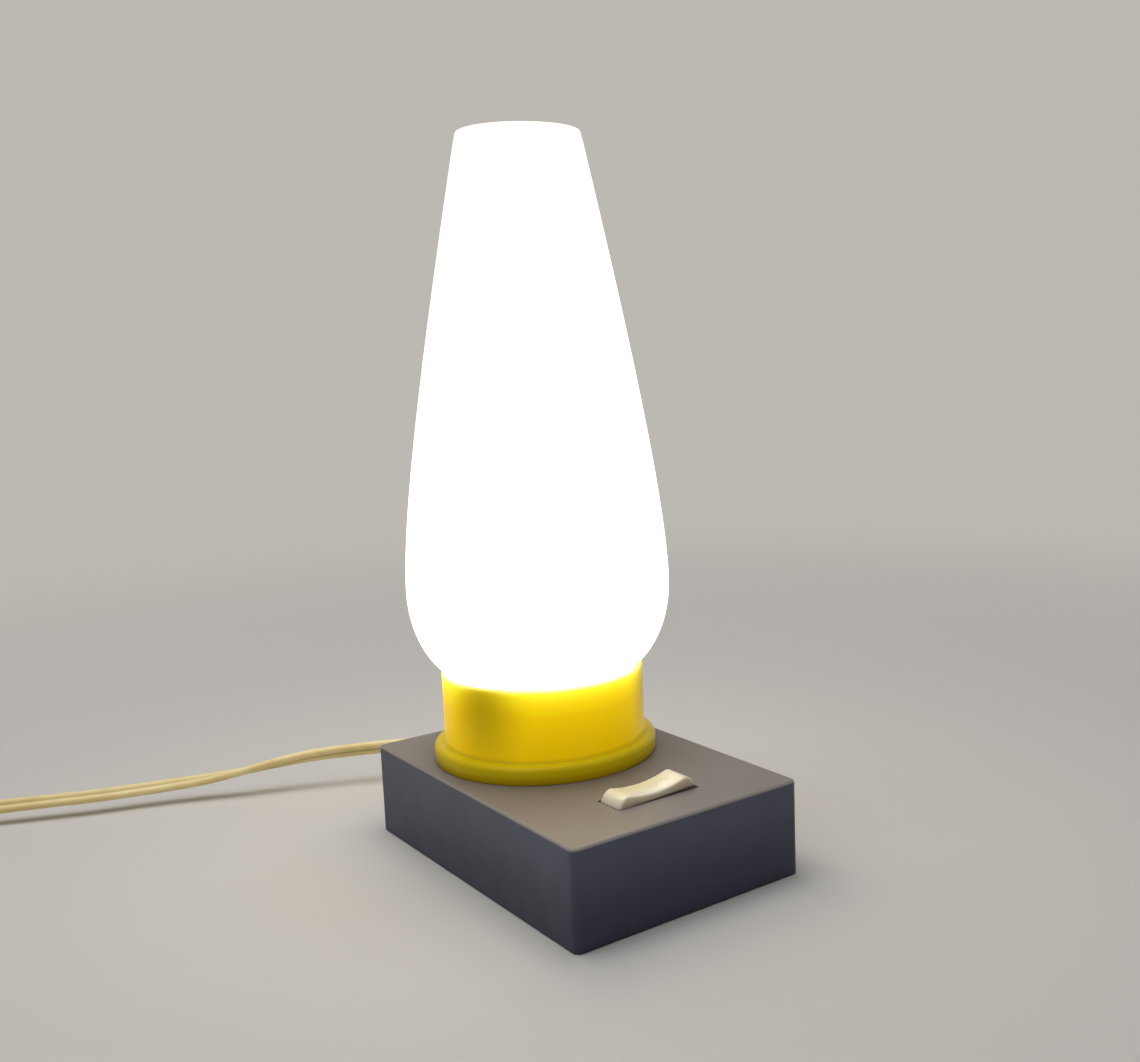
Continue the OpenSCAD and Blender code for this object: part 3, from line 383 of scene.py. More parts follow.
def opalGlass():
    f = glassFinish
    material, tree, shader, place = startMaterial("opalGlass", {
        "Base Color": linear(f["body"]), "IOR": 1.52, "Roughness": 0.12, "Coat Weight": 0.2,
        "Coat Roughness": 0.03})
    height = addNode(tree, "SeparateXYZ", links={"Vector": place}).outputs["Z"]
    belly, mouth = glass["rim"] + glass["bellyHeight"], glass["rim"] + glass["height"]
    climb = addNode(tree, "MapRange", {"From Min": belly * mm, "From Max": mouth * mm}, {"Value": height})
    cloud = addNode(tree, "TexNoise", {"Scale": 1 / (f["cloud"] * mm), "Detail": 2}, {"Vector": place})
    wander = addNode(tree, "MapRange", {"To Min": -f["wander"], "To Max": f["wander"]}, {"Value": cloud})
    level = addNode(tree, "Math", links={0: climb, 1: wander}, operation="ADD")
    tone = addNode(tree, "ValToRGB", links={"Fac": level})
    rampStops(tone, [(0.5, f["bright"]), (1, f["cream"])])
    glow = addNode(tree, "MapRange", {"To Min": f["glowFoot"], "To Max": f["glowMouth"]}, {"Value": level},
                   interpolation_type="SMOOTHSTEP")
    # the outer wall looks away from the axis and the inner wall towards it
    outwards = addNode(tree, "Mapping", {"Location": (-lampAxis[0] * mm, -lampAxis[1] * mm, 0),
                                         "Scale": (1, 1, 0)}, {"Vector": place})
    normal = addNode(tree, "NewGeometry").outputs["Normal"]
    facing = addNode(tree, "VectorMath", links={0: outwards, 1: normal}, operation="DOT_PRODUCT")
    change = f["wallChange"] * mm
    outside = addNode(tree, "MapRange", {"From Min": -change, "From Max": change, "To Min": f["glowInside"]},
                      {"Value": facing})
    lit = addNode(tree, "Math", links={0: glow, 1: outside}, operation="MULTIPLY")
    joinUp(shader, {"Emission Color": tone, "Emission Strength": lit})
    return material


# a finish of two close colours that cloud into each other, with its own gloss, grain and grain depth;
# cloud, grain and depth are in mm, milky lets light into the surface, glow is for what is lit, and
# groove is the colour of the painted shade on a piece that says where it lies
cloudedLook = {"stops": (0.3, 0.7), "glossSpread": 0.07, "grainStrength": 0.3, "lightDepth": 4,
               "lightTint": (1.0, 0.9, 0.7)}


def cloudedFinish(name, dark, light, cloud, rough, grain, depth, metal=0, coat=0, stretch=(1, 1, 1),
                  milky=0, glow=0, groove=None):
    f = cloudedLook
    material, tree, shader, place = startMaterial(name, {
        "Metallic": metal, "Coat Weight": coat, "Emission Strength": glow, "Subsurface Weight": milky,
        "Subsurface Radius": f["lightTint"], "Subsurface Scale": f["lightDepth"] * mm})
    drawn = addNode(tree, "Mapping", {"Scale": stretch}, {"Vector": place})
    clouds = addNode(tree, "TexNoise", {"Scale": 1 / (cloud * mm), "Detail": 4}, {"Vector": drawn})
    colour = addNode(tree, "ValToRGB", links={"Fac": clouds})
    rampStops(colour, list(zip(f["stops"], (dark, light))))
    spread = f["glossSpread"]
    gloss = addNode(tree, "MapRange", {"To Min": rough - spread, "To Max": rough + spread}, {"Value": clouds})
    grains = addNode(tree, "TexNoise", {"Scale": 1 / (grain * mm), "Detail": 4}, {"Vector": drawn})
    bump = addNode(tree, "Bump", {"Strength": f["grainStrength"], "Distance": depth * mm}, {"Height": grains})
    # painted shade where the piece's groove attribute says
    if groove:
        deep = addNode(tree, "Attribute", attribute_name="groove").outputs["Fac"]
        colour = addNode(tree, "Mix", {"B": linear(groove)}, {"Factor": deep, "A": colour}, data_type="RGBA")
    joinUp(shader, {"Base Color": colour, "Roughness": gloss, "Normal": bump})
    if glow:
        joinUp(shader, {"Emission Color": colour})
    return material


# base: an open box with rounded corners, a slot for the rocker and a hole for the cord
base = {"width": 90, "depth": 134, "foot": 0.5, "top": 33, "wall": 2.5, "corner": 2.5, "edge": 1.0,
        "slotLength": 32.9, "slotWidth": 12.2, "slotPlace": -44, "slotCorner": 0.7, "slotEdge": 0.3,
        "cordHole": 4.5, "cordHeight": 14, "cutDepth": 10}


def makeBase(material):
    b = base
    halfWidth, halfDepth = b["width"] / 2, b["depth"] / 2
    obj = addBox("lampBase", (-halfWidth, -halfDepth, b["foot"]), (halfWidth, halfDepth, b["top"]))
    startEdit(obj)
    bevelEdges(obj, lambda e: runsAlong(e, "z"), b["corner"], steps=6)
    bevelEdges(obj, lambda e: bothEnds(e, lambda p: p.z > b["top"] - onPlane), b["edge"], steps=5)
    pick(obj, "FACE", lambda f: f.normal.z < -looksAlong)
    bpy.ops.mesh.delete(type="FACE")
    endEdit()
    applyModifier(obj, "SOLIDIFY", thickness=b["wall"] * mm, offset=-1, use_even_offset=True)
    halfSlot, slotSide = b["slotLength"] / 2, b["slotWidth"] / 2
    cutter = addBox("slotCutter", (-halfSlot, b["slotPlace"] - slotSide, b["top"] - b["cutDepth"]),
                    (halfSlot, b["slotPlace"] + slotSide, b["top"] + b["cutDepth"]))
    startEdit(cutter)
    bevelEdges(cutter, lambda e: runsAlong(e, "z"), b["slotCorner"], steps=3)
    endEdit()
    cutAway(obj, cutter)
    bpy.ops.object.select_all(action="DESELECT")
    bpy.ops.mesh.primitive_cylinder_add(vertices=48, radius=b["cordHole"] * mm, depth=b["cutDepth"] * mm,
                                        location=(0, halfDepth * mm, b["cordHeight"] * mm),
                                        rotation=(math.pi / 2, 0, 0))
    cutAway(obj, newObject("cordCutter"))

    def bySlot(p):
        inside = abs(p.x) < halfSlot + onPlane and abs(p.y - b["slotPlace"]) < slotSide + onPlane
        return inside and p.z > b["top"] - onPlane

    startEdit(obj)
    bevelEdges(obj, lambda e: bothEnds(e, bySlot) and isSharp(e), b["slotEdge"], steps=3)
    endEdit()
    finishPiece(obj, material, "base", ["base_housing"], flatFaces=True)


# collar: a flange and a tube turned in one piece, with the floor that the lampholder stands on
collar = {"seat": base["top"], "height": 31.7, "tube": 36.4, "bore": 34.2, "hole": 5.1, "floor": 2.5,
          "flange": 40.25, "flangeHeight": 6.2, "flangeRound": 1.8, "flangeFoot": 0.3, "fillet": 0.7,
          "ledge": 17.2, "ledgeWidth": 1, "rimOutside": 0.8, "rimInside": 0.4}


def makeCollar(material):
    c = collar
    flange, tube, bore, hole, top = c["flange"], c["tube"], c["bore"], c["hole"], c["height"]
    bend, fillet, rimOut, rimIn = c["flangeRound"], c["fillet"], c["rimOutside"], c["rimInside"]
    ledge = bore - c["ledgeWidth"]
    rings = [(hole, 0), (flange - c["flangeFoot"], 0), (flange, c["flangeFoot"])]
    rings += roundCorner((flange - bend, c["flangeHeight"] - bend), bend, 0, 90, 8)
    rings += roundCorner((tube + fillet, c["flangeHeight"] + fillet), fillet, 270, 180, 5)
    rings += [(tube, top / 2)]
    rings += roundCorner((tube - rimOut, top - rimOut), rimOut, 0, 90, 5)
    rings += roundCorner((bore + rimIn, top - rimIn), rimIn, 90, 180, 3)
    rings += [(bore, c["ledge"]), (ledge, c["ledge"]), (ledge, c["floor"]), (hole, c["floor"]), (hole, 0)]
    rings = [(radius, c["seat"] + height) for radius, height in rings]
    obj = turnPiece("yellowCollar", rings, lampAxis, sides=144, filled=False)
    finishPiece(obj, material, "base", ["collar"])


# shade: a blown drop with an open mouth, its neck inside the collar; heights are above the collar's rim
glass = {"rim": collar["seat"] + collar["height"], "height": 188, "belly": 47, "bellyHeight": 30.3,
         "bellyPull": 28, "mouth": 21.5, "mouthPull": 66, "mouthSlope": 0.205, "shoulder": 22,
         "shoulderDrop": 33.03, "neck": 33.0, "neckDepth": 12, "neckBlend": 1, "thickness": 2.6, "lip": 0.7,
         "steps": 24}


def bezier(points, t):
    weights = [(1 - t) ** 3, 3 * t * (1 - t) ** 2, 3 * t * t * (1 - t), t ** 3]
    return tuple(sum(w * p[i] for w, p in zip(weights, points)) for i in (0, 1))


# the outside from the rim up: part of an ellipse to the belly, then a long curve to the mouth
def glassLine():
    g = glass
    steps = g["steps"]
    core = g["belly"] - g["shoulder"]
    start = math.acos((g["neck"] - core) / g["shoulder"])
    line = []
    for step in range(steps + 1):
        angle = start * (1 - step / steps)
        line.append((core + g["shoulder"] * math.cos(angle),
                     g["bellyHeight"] - g["shoulderDrop"] * math.sin(angle)))
    taper = [(g["belly"], g["bellyHeight"]), (g["belly"], g["bellyHeight"] + g["bellyPull"]),
             (g["mouth"] + g["mouthSlope"] * g["mouthPull"], g["height"] - g["mouthPull"]),
             (g["mouth"], g["height"])]
    return line + [bezier(taper, step / (2 * steps)) for step in range(1, 2 * steps + 1)]


def makeShade(material):
    g = glass
    wall, lip, neck, mouth = g["thickness"], g["lip"], g["neck"], g["mouth"]
    bore, foot, top = neck - wall, -g["neckDepth"], g["height"] - lip
    outside = glassLine()
    inside = []
    for before, point, after in zip(outside, outside[1:], outside[2:]):
        along = Vector((after[0] - before[0], after[1] - before[1])).normalized()
        inner = (point[0] - wall * along[1], point[1] + wall * along[0])
        if inner[0] > bore or inner[1] > g["bellyHeight"]:
            inside.append(inner)
    rings = [(bore + lip, foot), (neck - lip, foot)]
    rings += roundCorner((neck - lip, foot + lip), lip, 270, 360, 4)[1:]
    rings += outside[:-1]
    rings += roundCorner((mouth - lip, top), lip, 10, 90, 5)
    rings += roundCorner((mouth - wall + lip, top), lip, 90, 170, 5)
    rings += inside[::-1]
    rings += [(bore, inside[0][1] - g["neckBlend"]), (bore, foot + lip)]
    rings += roundCorner((bore + lip, foot + lip), lip, 180, 270, 4)[1:]
    rings = [(radius, g["rim"] + height) for radius, height in rings]
    obj = turnPiece("glassShade", rings, lampAxis, sides=160, filled=False)
    finishPiece(obj, material, "shade", ["shade"], smoothAngle=50)


# rocker: a key with a hollow top and leaning ends, pressed down at its left end; heights are above
# its pivot
key = {"pivot": (0, base["slotPlace"], 27), "length": 31, "width": 11, "keel": -2.5, "keelCut": 6,
       "waist": 2, "baseTop": 6, "slotShadeTop": 6.5, "top": 9.85, "lean": 2.2, "dip": 1.6, "hollowReach": 11.25,
       "hollowCuts": 13, "edge": 0.75, "endEdge": 1.86, "tilt": -2.5}


def makeRocker(material):
    k = key
    px, py, pz = k["pivot"]
    half, side, top = k["length"] / 2, k["width"] / 2, pz + k["top"]
    obj = addBox("rockerKey", (px - half, py - side, pz + k["keel"]), (px + half, py + side, top))
    startEdit(obj)
    for height in (k["waist"], k["baseTop"], k["slotShadeTop"]):
        bpy.ops.mesh.select_all(action="SELECT")
        bpy.ops.mesh.bisect(plane_co=(0, 0, (pz + height) * mm), plane_no=(0, 0, 1))
    for height, shorter in ((k["keel"], k["keelCut"]), (k["top"], k["lean"])):
        pick(obj, "VERT", lambda v: abs(v.co.z / mm - pz - height) < onPlane)
        bpy.ops.transform.resize(value=((half - shorter) / half, 1, 1),
                                 center_override=(px * mm, py * mm, (pz + height) * mm))
    # the ends of the top are rounded over first, then the hollow is sunk between them
    bevelEdges(obj, lambda e: bothEnds(e, lambda p: p.z > top - onPlane) and runsAlong(e, "y"),
               k["endEdge"], steps=7)
    middle = (k["hollowCuts"] - 1) / 2
    places = [k["hollowReach"] * (cut / middle - 1) for cut in range(1, k["hollowCuts"] - 1)]
    for place in places:
        bpy.ops.mesh.select_all(action="SELECT")
        bpy.ops.mesh.bisect(plane_co=((px + place) * mm, 0, 0), plane_no=(1, 0, 0))
    for place in places:
        sink = k["dip"] * (1 - (place / k["hollowReach"]) ** 2)
        pick(obj, "VERT", lambda v: v.co.z / mm > top - onPlane and abs(v.co.x / mm - px - place) < onPlane)
        bpy.ops.transform.translate(value=(0, 0, -sink * mm))
    # and the long edges and the upright corners are softened
    bevelEdges(obj, lambda e: bothEnds(e, lambda p: abs(abs(p.y - py) - side) < onPlane) and isSharp(e),
               k["edge"], steps=5)
    endEdit()
    # painted shade: a dark line where the key goes into its slot
    slotShade = [float(abs(v.co.z / mm - pz - k["baseTop"]) < onPlane) for v in obj.data.vertices]
    obj.data.attributes.new("groove", "FLOAT", "POINT").data.foreach_set("value", slotShade)
    startEdit(obj)
    bpy.ops.transform.rotate(value=-math.radians(k["tilt"]), orient_axis="Y",
                             center_override=[c * mm for c in k["pivot"]])
    endEdit()
    finishPiece(obj, material, "rocker", ["rocker"], smoothAngle=40)


# cord: flat twin flex from the sleeve's tip, over on to its other edge half way, into a tied coil and
# on to its plug; route points are [x, y, z] and the twist about the line in degrees
cord = {"core": 3.1, "length": 1.85, "groove": 150, "lobePoints": 11, "grooveShade": 0.4, "spacing": 2.5,
        "inSleeve": 1.5,
        "route": [(0, 87, 14, 90), (0, 92, 14, 90), (-1, 98, 14.1, 90), (-4, 105, 14.2, 86),
                  (-9, 111.5, 14.2, 80), (-15, 116, 14.2, 72), (-22, 120, 14.1, 66), (-30, 124, 13.9, 63),
                  (-40, 128.5, 13.6, 60), (-50, 133, 12.9, 52), (-61, 137, 11.7, 36), (-73, 141.5, 9.9, 14),
                  (-85, 147, 8.3, -10), (-98, 152.5, 7.4, -22), (-112, 157.5, 7, -26),
                  (-127, 162.5, 6.9, -26), (-144, 169.5, 6.9, -28), (-162, 177.5, 6.6, -40),
                  (-178, 184.8, 5.5, -68)],
        "coilCentre": (-218, 160.5), "coilStart": 60, "coilRadius": 40, "coilStep": 3.7, "coilDip": 1.2,
        "turnsIn": 3.5, "turnsClimb": 0.5, "turnsOut": 3 + 1 / 3, "perTurn": 48, "coilLow": 4.25,
        "coilRise": 6.7, "onEdge": -90, "plugRun": 48, "plugHeight": 6.85, "plugSteps": 12}


# the coil winds inwards flat, climbs one cord's width and winds out again on top
def coilPoint(turns):
    c = cord
    inner = c["coilRadius"] - c["coilStep"] * c["turnsIn"]
    climb = (turns - c["turnsIn"]) / c["turnsClimb"]
    if climb < 0:
        radius = c["coilRadius"] - c["coilStep"] * turns
    elif climb < 1:
        radius = inner - c["coilDip"] * math.sin(math.pi * climb)
    else:
        radius = inner + c["coilStep"] * (turns - c["turnsIn"] - c["turnsClimb"])
    angle = math.radians(c["coilStart"] + 360 * turns)
    x, y = c["coilCentre"]
    height = c["coilLow"] + c["coilRise"] * max(0, min(1, climb))
    return (x + radius * math.cos(angle), y + radius * math.sin(angle), height, c["onEdge"])


def cordPoints():
    c = cord
    turns = c["turnsIn"] + c["turnsClimb"] + c["turnsOut"]
    rings = round(turns * c["perTurn"])
    coil = [coilPoint(turns * i / rings) for i in range(rings + 1)]
    # straight out of the coil and down to the plug
    x, y, z = coil[-1][:3]
    tail = []
    for step in range(c["plugSteps"] + 1):
        t = step / c["plugSteps"]
        drop = (c["plugHeight"] - z) * t * t * (3 - 2 * t)
        tail.append((x, y - 2 * c["core"] - c["plugRun"] * t, z + drop, c["onEdge"]))
    # a smooth line through the route's points, about one ring for each spacing
    knots = [Vector(p) for p in c["route"]] + [Vector(coil[0])]
    knots = [knots[0] * 2 - knots[1]] + knots + [Vector(coil[1])]
    route = []
    for a, b, d, e in zip(knots, knots[1:], knots[2:], knots[3:]):
        steps = max(2, round((d - b).xyz.length / c["spacing"]))
        for step in range(steps):
            t = step / steps
            route.append(tuple(0.5 * (2 * b + (d - a) * t + (2 * a - 5 * b + 4 * d - e) * t * t
                                      + (3 * b - a - 3 * d + e) * t ** 3)))
    startX, startY, startZ, twist = c["route"][0]
    return [(startX, startY - c["inSleeve"], startZ, twist)] + route + coil + tail


def makeCord(material):
    c = cord
    points = cordPoints()
    # two round cores side by side, each drawn as far round as the groove between them
    radius, last = c["core"] / 2, c["lobePoints"] - 1
    lobe = [math.radians(c["groove"] * (2 * i / last - 1)) for i in range(last + 1)]
    section = [(side * radius * (1 + math.cos(a)), side * radius * math.sin(a))
               for side in (1, -1) for a in lobe]
    line = [Vector(p[:3]) * mm for p in points]
    verts, faces = [], []
    for i, point in enumerate(points):
        ahead = (line[min(i + 1, len(line) - 1)] - line[max(i - 1, 0)]).normalized()
        across = Vector((0, 0, 1)).cross(ahead).normalized()
        up = ahead.cross(across)
        cosine, sine = math.cos(math.radians(point[3])), math.sin(math.radians(point[3]))
        for x, y in section:
            verts.append(line[i] + ((x * cosine - y * sine) * across + (x * sine + y * cosine) * up) * mm)
    count = len(section)
    for i in range(len(points) - 1):
        for j in range(count):
            k = (j + 1) % count
            faces.append((i * count + j, i * count + k, (i + 1) * count + k, (i + 1) * count + j))
    faces.append(tuple(range(count))[::-1])
    faces.append(tuple(range((len(points) - 1) * count, len(points) * count)))
    mesh = bpy.data.meshes.new("mainsCord")
    mesh.from_pydata(verts, [], faces)
    obj = bpy.data.objects.new("mainsCord", mesh)
    bpy.context.collection.objects.link(obj)
    startEdit(obj)
    endEdit(outwards=True)
    # painted shade in the groove between the two cores
    depth = [c["grooveShade"] if i in (0, last) else 0.0 for i in range(last + 1)] * 2
    mesh.attributes.new("groove", "FLOAT", "POINT").data.foreach_set("value", depth * len(points))
    finishPiece(obj, material, "base", ["cord", "cord_coil", "cord_plug_end"], smoothAngle=50)
    leaving = [v * mm for v in c["route"][0][:3]]
    return obj, leaving, [tuple(p) for p in line]


# the sleeve that keeps the cord from kinking: a flange, a grooved taper and a rounded tip
sleeve = {"place": (0, base["depth"] / 2, base["cordHeight"]), "gap": 0.05, "flange": 6.0, "flangeThick": 2,
          "flangeEdge": 0.5, "fillet": 0.4, "root": 4.9, "tip": 4.1, "length": 20, "tipEdge": 0.6,
          "tipBend": 0.2, "grooves": 4, "grooveWidth": 1.3, "grooveDepth": 0.7, "grooveSlope": 0.25,
          "firstGroove": 5, "grooveStep": 3.4}


def makeSleeve(material):
    s = sleeve
    thick, length, tip, slope = s["flangeThick"], s["length"], s["tip"], s["grooveSlope"]

    def taper(height):
        return s["root"] + (tip - s["root"]) * (height - thick) / (length - thick)

    rings = [(s["flange"], s["gap"]), (s["flange"], thick - s["flangeEdge"]),
             (s["flange"] - s["flangeEdge"], thick), (s["root"] + s["fillet"], thick),
             (s["root"], thick + s["fillet"])]
    for groove in range(s["grooves"]):
        low = s["firstGroove"] + groove * s["grooveStep"]
        high = low + s["grooveWidth"]
        deep = taper(low) - s["grooveDepth"]
        rings += [(taper(low), low), (deep, low + slope), (deep, high - slope), (taper(high), high)]
    rings += [(tip, length - s["tipEdge"]), (tip - s["tipBend"], length - s["tipBend"]),
              (tip - s["tipEdge"], length)]
    obj = turnPiece("cordSleeve", rings, sides=48)
    turnAndMove(obj, -90, "X", s["place"])
    finishPiece(obj, material, "base", ["cord_strain_relief"])
    return obj


# plug: a flat moulding with finger grooves on the cord's end, drawn ring by ring from its face back to
# the cord, [distance behind the face, width, thickness]
plug = {"rings": [(0, 31.5, 10.6), (0.3, 33.2, 12.2), (1.2, 34.6, 13.4), (2.2, 35, 13.7), (6.0, 35, 13.7),
                  (6.5, 34.2, 13), (7.5, 34.2, 13), (8.0, 35, 13.7), (9.5, 35, 13.7), (10, 34.2, 13),
                  (11, 34.2, 13), (11.5, 35, 13.7), (14.4, 34.6, 13.4), (17.5, 30, 12.2), (20.5, 22, 10.6),
                  (23, 14.5, 9.3), (24.2, 10.4, 8.6), (26.5, 8.3, 8.3), (27, 7.3, 7.3), (28, 7.3, 7.3),
                  (28.5, 8, 8), (30, 7.9, 7.9), (30.5, 6.9, 6.9), (31.5, 6.9, 6.9), (32, 7.6, 7.6),
                  (35, 7.3, 7.3), (36, 6.6, 6.6)],
        "pin": 2.0, "pinLength": 19, "pinRound": 1, "pinPlace": 9.3}


def makePlug(bodyMaterial, pinMaterial):
    p = plug
    x, y, z = cordPoints()[-1][:3]
    y -= p["rings"][-1][0]  # from the cord's end to the plug's face
    back, width, thick = p["rings"][0]
    bpy.ops.object.select_all(action="DESELECT")
    bpy.ops.mesh.primitive_circle_add(vertices=64, radius=thick / 2 * mm,
                                      location=(x * mm, y * mm, z * mm), rotation=(math.pi / 2, 0, 0))
    body = newObject("plugMoulding")
    startEdit(body)
    for side in (1, -1):
        pick(body, "VERT", lambda v: side * (v.co.x / mm - x) > onPlane)
        bpy.ops.transform.translate(value=(side * (width - thick) / 2 * mm, 0, 0))
    bpy.ops.mesh.select_all(action="SELECT")
    bpy.ops.mesh.edge_face_add()
    bpy.ops.mesh.select_mode(type="EDGE")
    for nextBack, nextWidth, nextThick in p["rings"][1:]:
        bpy.ops.mesh.extrude_edges_move(TRANSFORM_OT_translate={"value": (0, (nextBack - back) * mm, 0)})
        bpy.ops.transform.resize(value=(nextWidth / width, 1, nextThick / thick),
                                 center_override=(x * mm, (y + nextBack) * mm, z * mm))
        back, width, thick = nextBack, nextWidth, nextThick
    bpy.ops.mesh.edge_face_add()
    endEdit(outwards=True)
    finishPiece(body, bodyMaterial, "base", ["plug_body"])
    bend = p["pinRound"]
    rings = [(p["pin"], 0)] + roundCorner((p["pin"] - bend, p["pinLength"] - bend), bend, 0, 90, 5)
    pins = []
    for side in (-1, 1):
        pin = turnPiece("plugPin", rings, sides=32)
        turnAndMove(pin, 90, "X", (x + side * p["pinPlace"], y, z))
        pins.append(pin)
    pinPair = joinAll("plugPinPair", pins)
    finishPiece(pinPair, pinMaterial, "base", ["plug_pins"])
    return body, pinPair


# the band round the coil: a flat strap bent into a loop, with its buckle on top
band = {"angle": 250, "inner": 23.95, "outer": 41.9, "top": 14.4, "thick": 0.8, "width": 5, "corner": 2.2,
        "edge": 0.15, "lock": (28.5, 36.5), "lockRise": 1.1, "lockWidth": 6.6, "lockRim": 1.1,
        "lockSink": 0.1, "lockEdge": 0.2}


def makeBand(material):
    b = band
    thick, side, lockSide = b["thick"], b["width"] / 2, b["lockWidth"] / 2
    loop = addBox("coilBand", (b["inner"] - thick, -side, 0), (b["outer"] + thick, side, b["top"] + thick))
    startEdit(loop)
    pick(loop, "FACE", lambda f: abs(f.normal.y) > looksAlong)
    bpy.ops.mesh.delete(type="FACE")
    bevelEdges(loop, lambda e: runsAlong(e, "y"), b["corner"], steps=5)
    endEdit(outwards=True)
    applyModifier(loop, "SOLIDIFY", thickness=thick * mm, offset=-1, use_even_offset=True)
    applyModifier(loop, "BEVEL", width=b["edge"] * mm, segments=2, limit_method="ANGLE",
                  angle_limit=sharpAngle)
    # the lock that the strap's end goes through, with a window half way down into its top
    seat = b["top"] + thick - b["lockSink"]
    lock = addBox("bandLock", (b["lock"][0], -lockSide, seat), (b["lock"][1], lockSide, seat + b["lockRise"]))
    startEdit(lock)
    pick(lock, "FACE", lambda f: f.normal.z > looksAlong)
    bpy.ops.mesh.inset(thickness=b["lockRim"] * mm, depth=0)
    bpy.ops.mesh.extrude_region_move(TRANSFORM_OT_translate={"value": (0, 0, -b["lockRise"] / 2 * mm)})
    endEdit()
    applyModifier(lock, "BEVEL", width=b["lockEdge"] * mm, segments=3, limit_method="ANGLE",
                  angle_limit=sharpAngle)
    loop = joinAll("coilBand", [loop, lock])
    turnAndMove(loop, b["angle"], "Z", cord["coilCentre"] + (0,))
    finishPiece(loop, material, "base", ["coil_tie"])
    return loop


# rubber feet: discs with a chamfered edge and a hollow under each, [radius, height]
footPad = {"rings": [(2.2, 0.5), (3.2, 0.4), (3.8, 0), (5.6, 0), (6, 0.35), (5.75, 1.6)], "place": (33, 49)}


def makeFeet(material):
    first = turnPiece("rubberFoot", footPad["rings"], sides=48)
    finishPiece(fourOf("rubberFeet", first, footPad["place"]), material, "base", ["rubber_feet"])


# screws of the bottom plate: pan heads with a cross recess, seen from below, [radius, height]
screw = {"rings": [(1.6, 0.5), (2.3, 0.62), (2.65, 0.95), (2.8, 1.35), (2.8, 1.6), (1.4, 1.6), (1.4, 11.6)],
         "crossLength": 3.2, "crossWidth": 0.7, "crossTop": 1.2, "place": (38, 60)}


def makePlateScrews(material):
    s = screw
    first = turnPiece("plateScrew", s["rings"], sides=40)
    long, short = s["crossLength"] / 2, s["crossWidth"] / 2
    for x, y in ((long, short), (short, long)):
        cutAway(first, addBox("crossCutter", (-x, -y, -s["crossTop"]), (x, y, s["crossTop"])))
    finishPiece(fourOf("plateScrews", first, s["place"]), material, "base", ["base_plate_screws"])


# bulb: a lit pearl globe on a straight neck
globe = {"centre": 99.9, "radius": 22.5, "neck": 10.5, "neckFoot": 73.5, "steps": 30, "lastRing": 88}


def makeGlobe(material):
    g = globe
    start = math.degrees(math.asin(g["neck"] / g["radius"])) - 90
    rings = [(g["neck"], g["neckFoot"])]
    rings += roundCorner((0, g["centre"]), g["radius"], start, g["lastRing"], g["steps"])
    rings += [(0, g["centre"] + g["radius"])]
    obj = turnPiece("bulbGlobe", rings, lampAxis, sides=80)
    finishPiece(obj, material, "bulb", ["bulb_globe"], smoothAngle=60)


# floor and light: a pale floor that fades into the backdrop, a wide soft light overhead, a weaker one
# from the left and a little light from all round; metres and watts, a lamp is [name, place, power, size]
studio = {"floor": "#d3d0cc", "floorSize": 60, "backdrop": "#bcb8b2", "fadeStart": 0.15, "fadeEnd": 0.85,
          "ambient": 0.1, "aim": (0, 0, 0.05),
          "lamps": [("overhead", (-0.1, 0.15, 1.3), 11.5, 1.0), ("left", (-1.3, -0.1, 0.7), 0.45, 0.8)]}


def seenDirectly(tree):
    rays = addNode(tree, "LightPath").outputs
    seen = addNode(tree, "Math", links={0: rays["Is Camera Ray"], 1: rays["Is Glossy Ray"]},
                   operation="MAXIMUM")
    return addNode(tree, "Math", links={0: seen, 1: rays["Is Transmission Ray"]}, operation="MAXIMUM")


def addFloor():
    bpy.ops.object.select_all(action="DESELECT")
    bpy.ops.mesh.primitive_plane_add(size=studio["floorSize"], location=(0, 0, 0))
    floor = newObject("studioFloor")
    # matt paper, even all over
    material, tree, shader, place = startMaterial("palePaper", {
        "Base Color": linear(studio["floor"]), "Roughness": 0.9})
    away = addNode(tree, "VectorMath", links={0: place}, operation="LENGTH")
    fade = addNode(tree, "MapRange", {"From Min": studio["fadeStart"], "From Max": studio["fadeEnd"]},
                   {"Value": away}, interpolation_type="SMOOTHSTEP")
    shown = addNode(tree, "Math", links={0: fade, 1: seenDirectly(tree)}, operation="MULTIPLY")
    backdrop = addNode(tree, "Emission", {"Color": linear(studio["backdrop"]), "Strength": 1})
    mixed = addNode(tree, "MixShader", links={0: shown, 1: shader, 2: backdrop})
    joinUp(tree.nodes["Material Output"], {"Surface": mixed})
    floor.data.materials.append(material)


def addLight():
    world = bpy.data.worlds.new("studio")
    bpy.context.scene.world = world
    world.use_nodes = True
    tree = world.node_tree
    tree.nodes.clear()
    soft = addNode(tree, "Background", {"Color": (1, 1, 1, 1), "Strength": studio["ambient"]})
    backdrop = addNode(tree, "Background", {"Color": linear(studio["backdrop"]), "Strength": 1})
    mixed = addNode(tree, "MixShader", links={0: seenDirectly(tree), 1: soft, 2: backdrop})
    addNode(tree, "OutputWorld", links={"Surface": mixed})
    for name, place, power, size in studio["lamps"]:
        bpy.ops.object.light_add(type="AREA", location=place)
        lamp = bpy.context.active_object
        lamp.name = name
        lamp.data.energy = power
        lamp.data.size = size
        lamp.rotation_euler = (Vector(studio["aim"]) - Vector(place)).to_track_quat("-Z", "Y").to_euler()
    bpy.context.scene.view_settings.view_transform = "Standard"
    print("floor and light set")


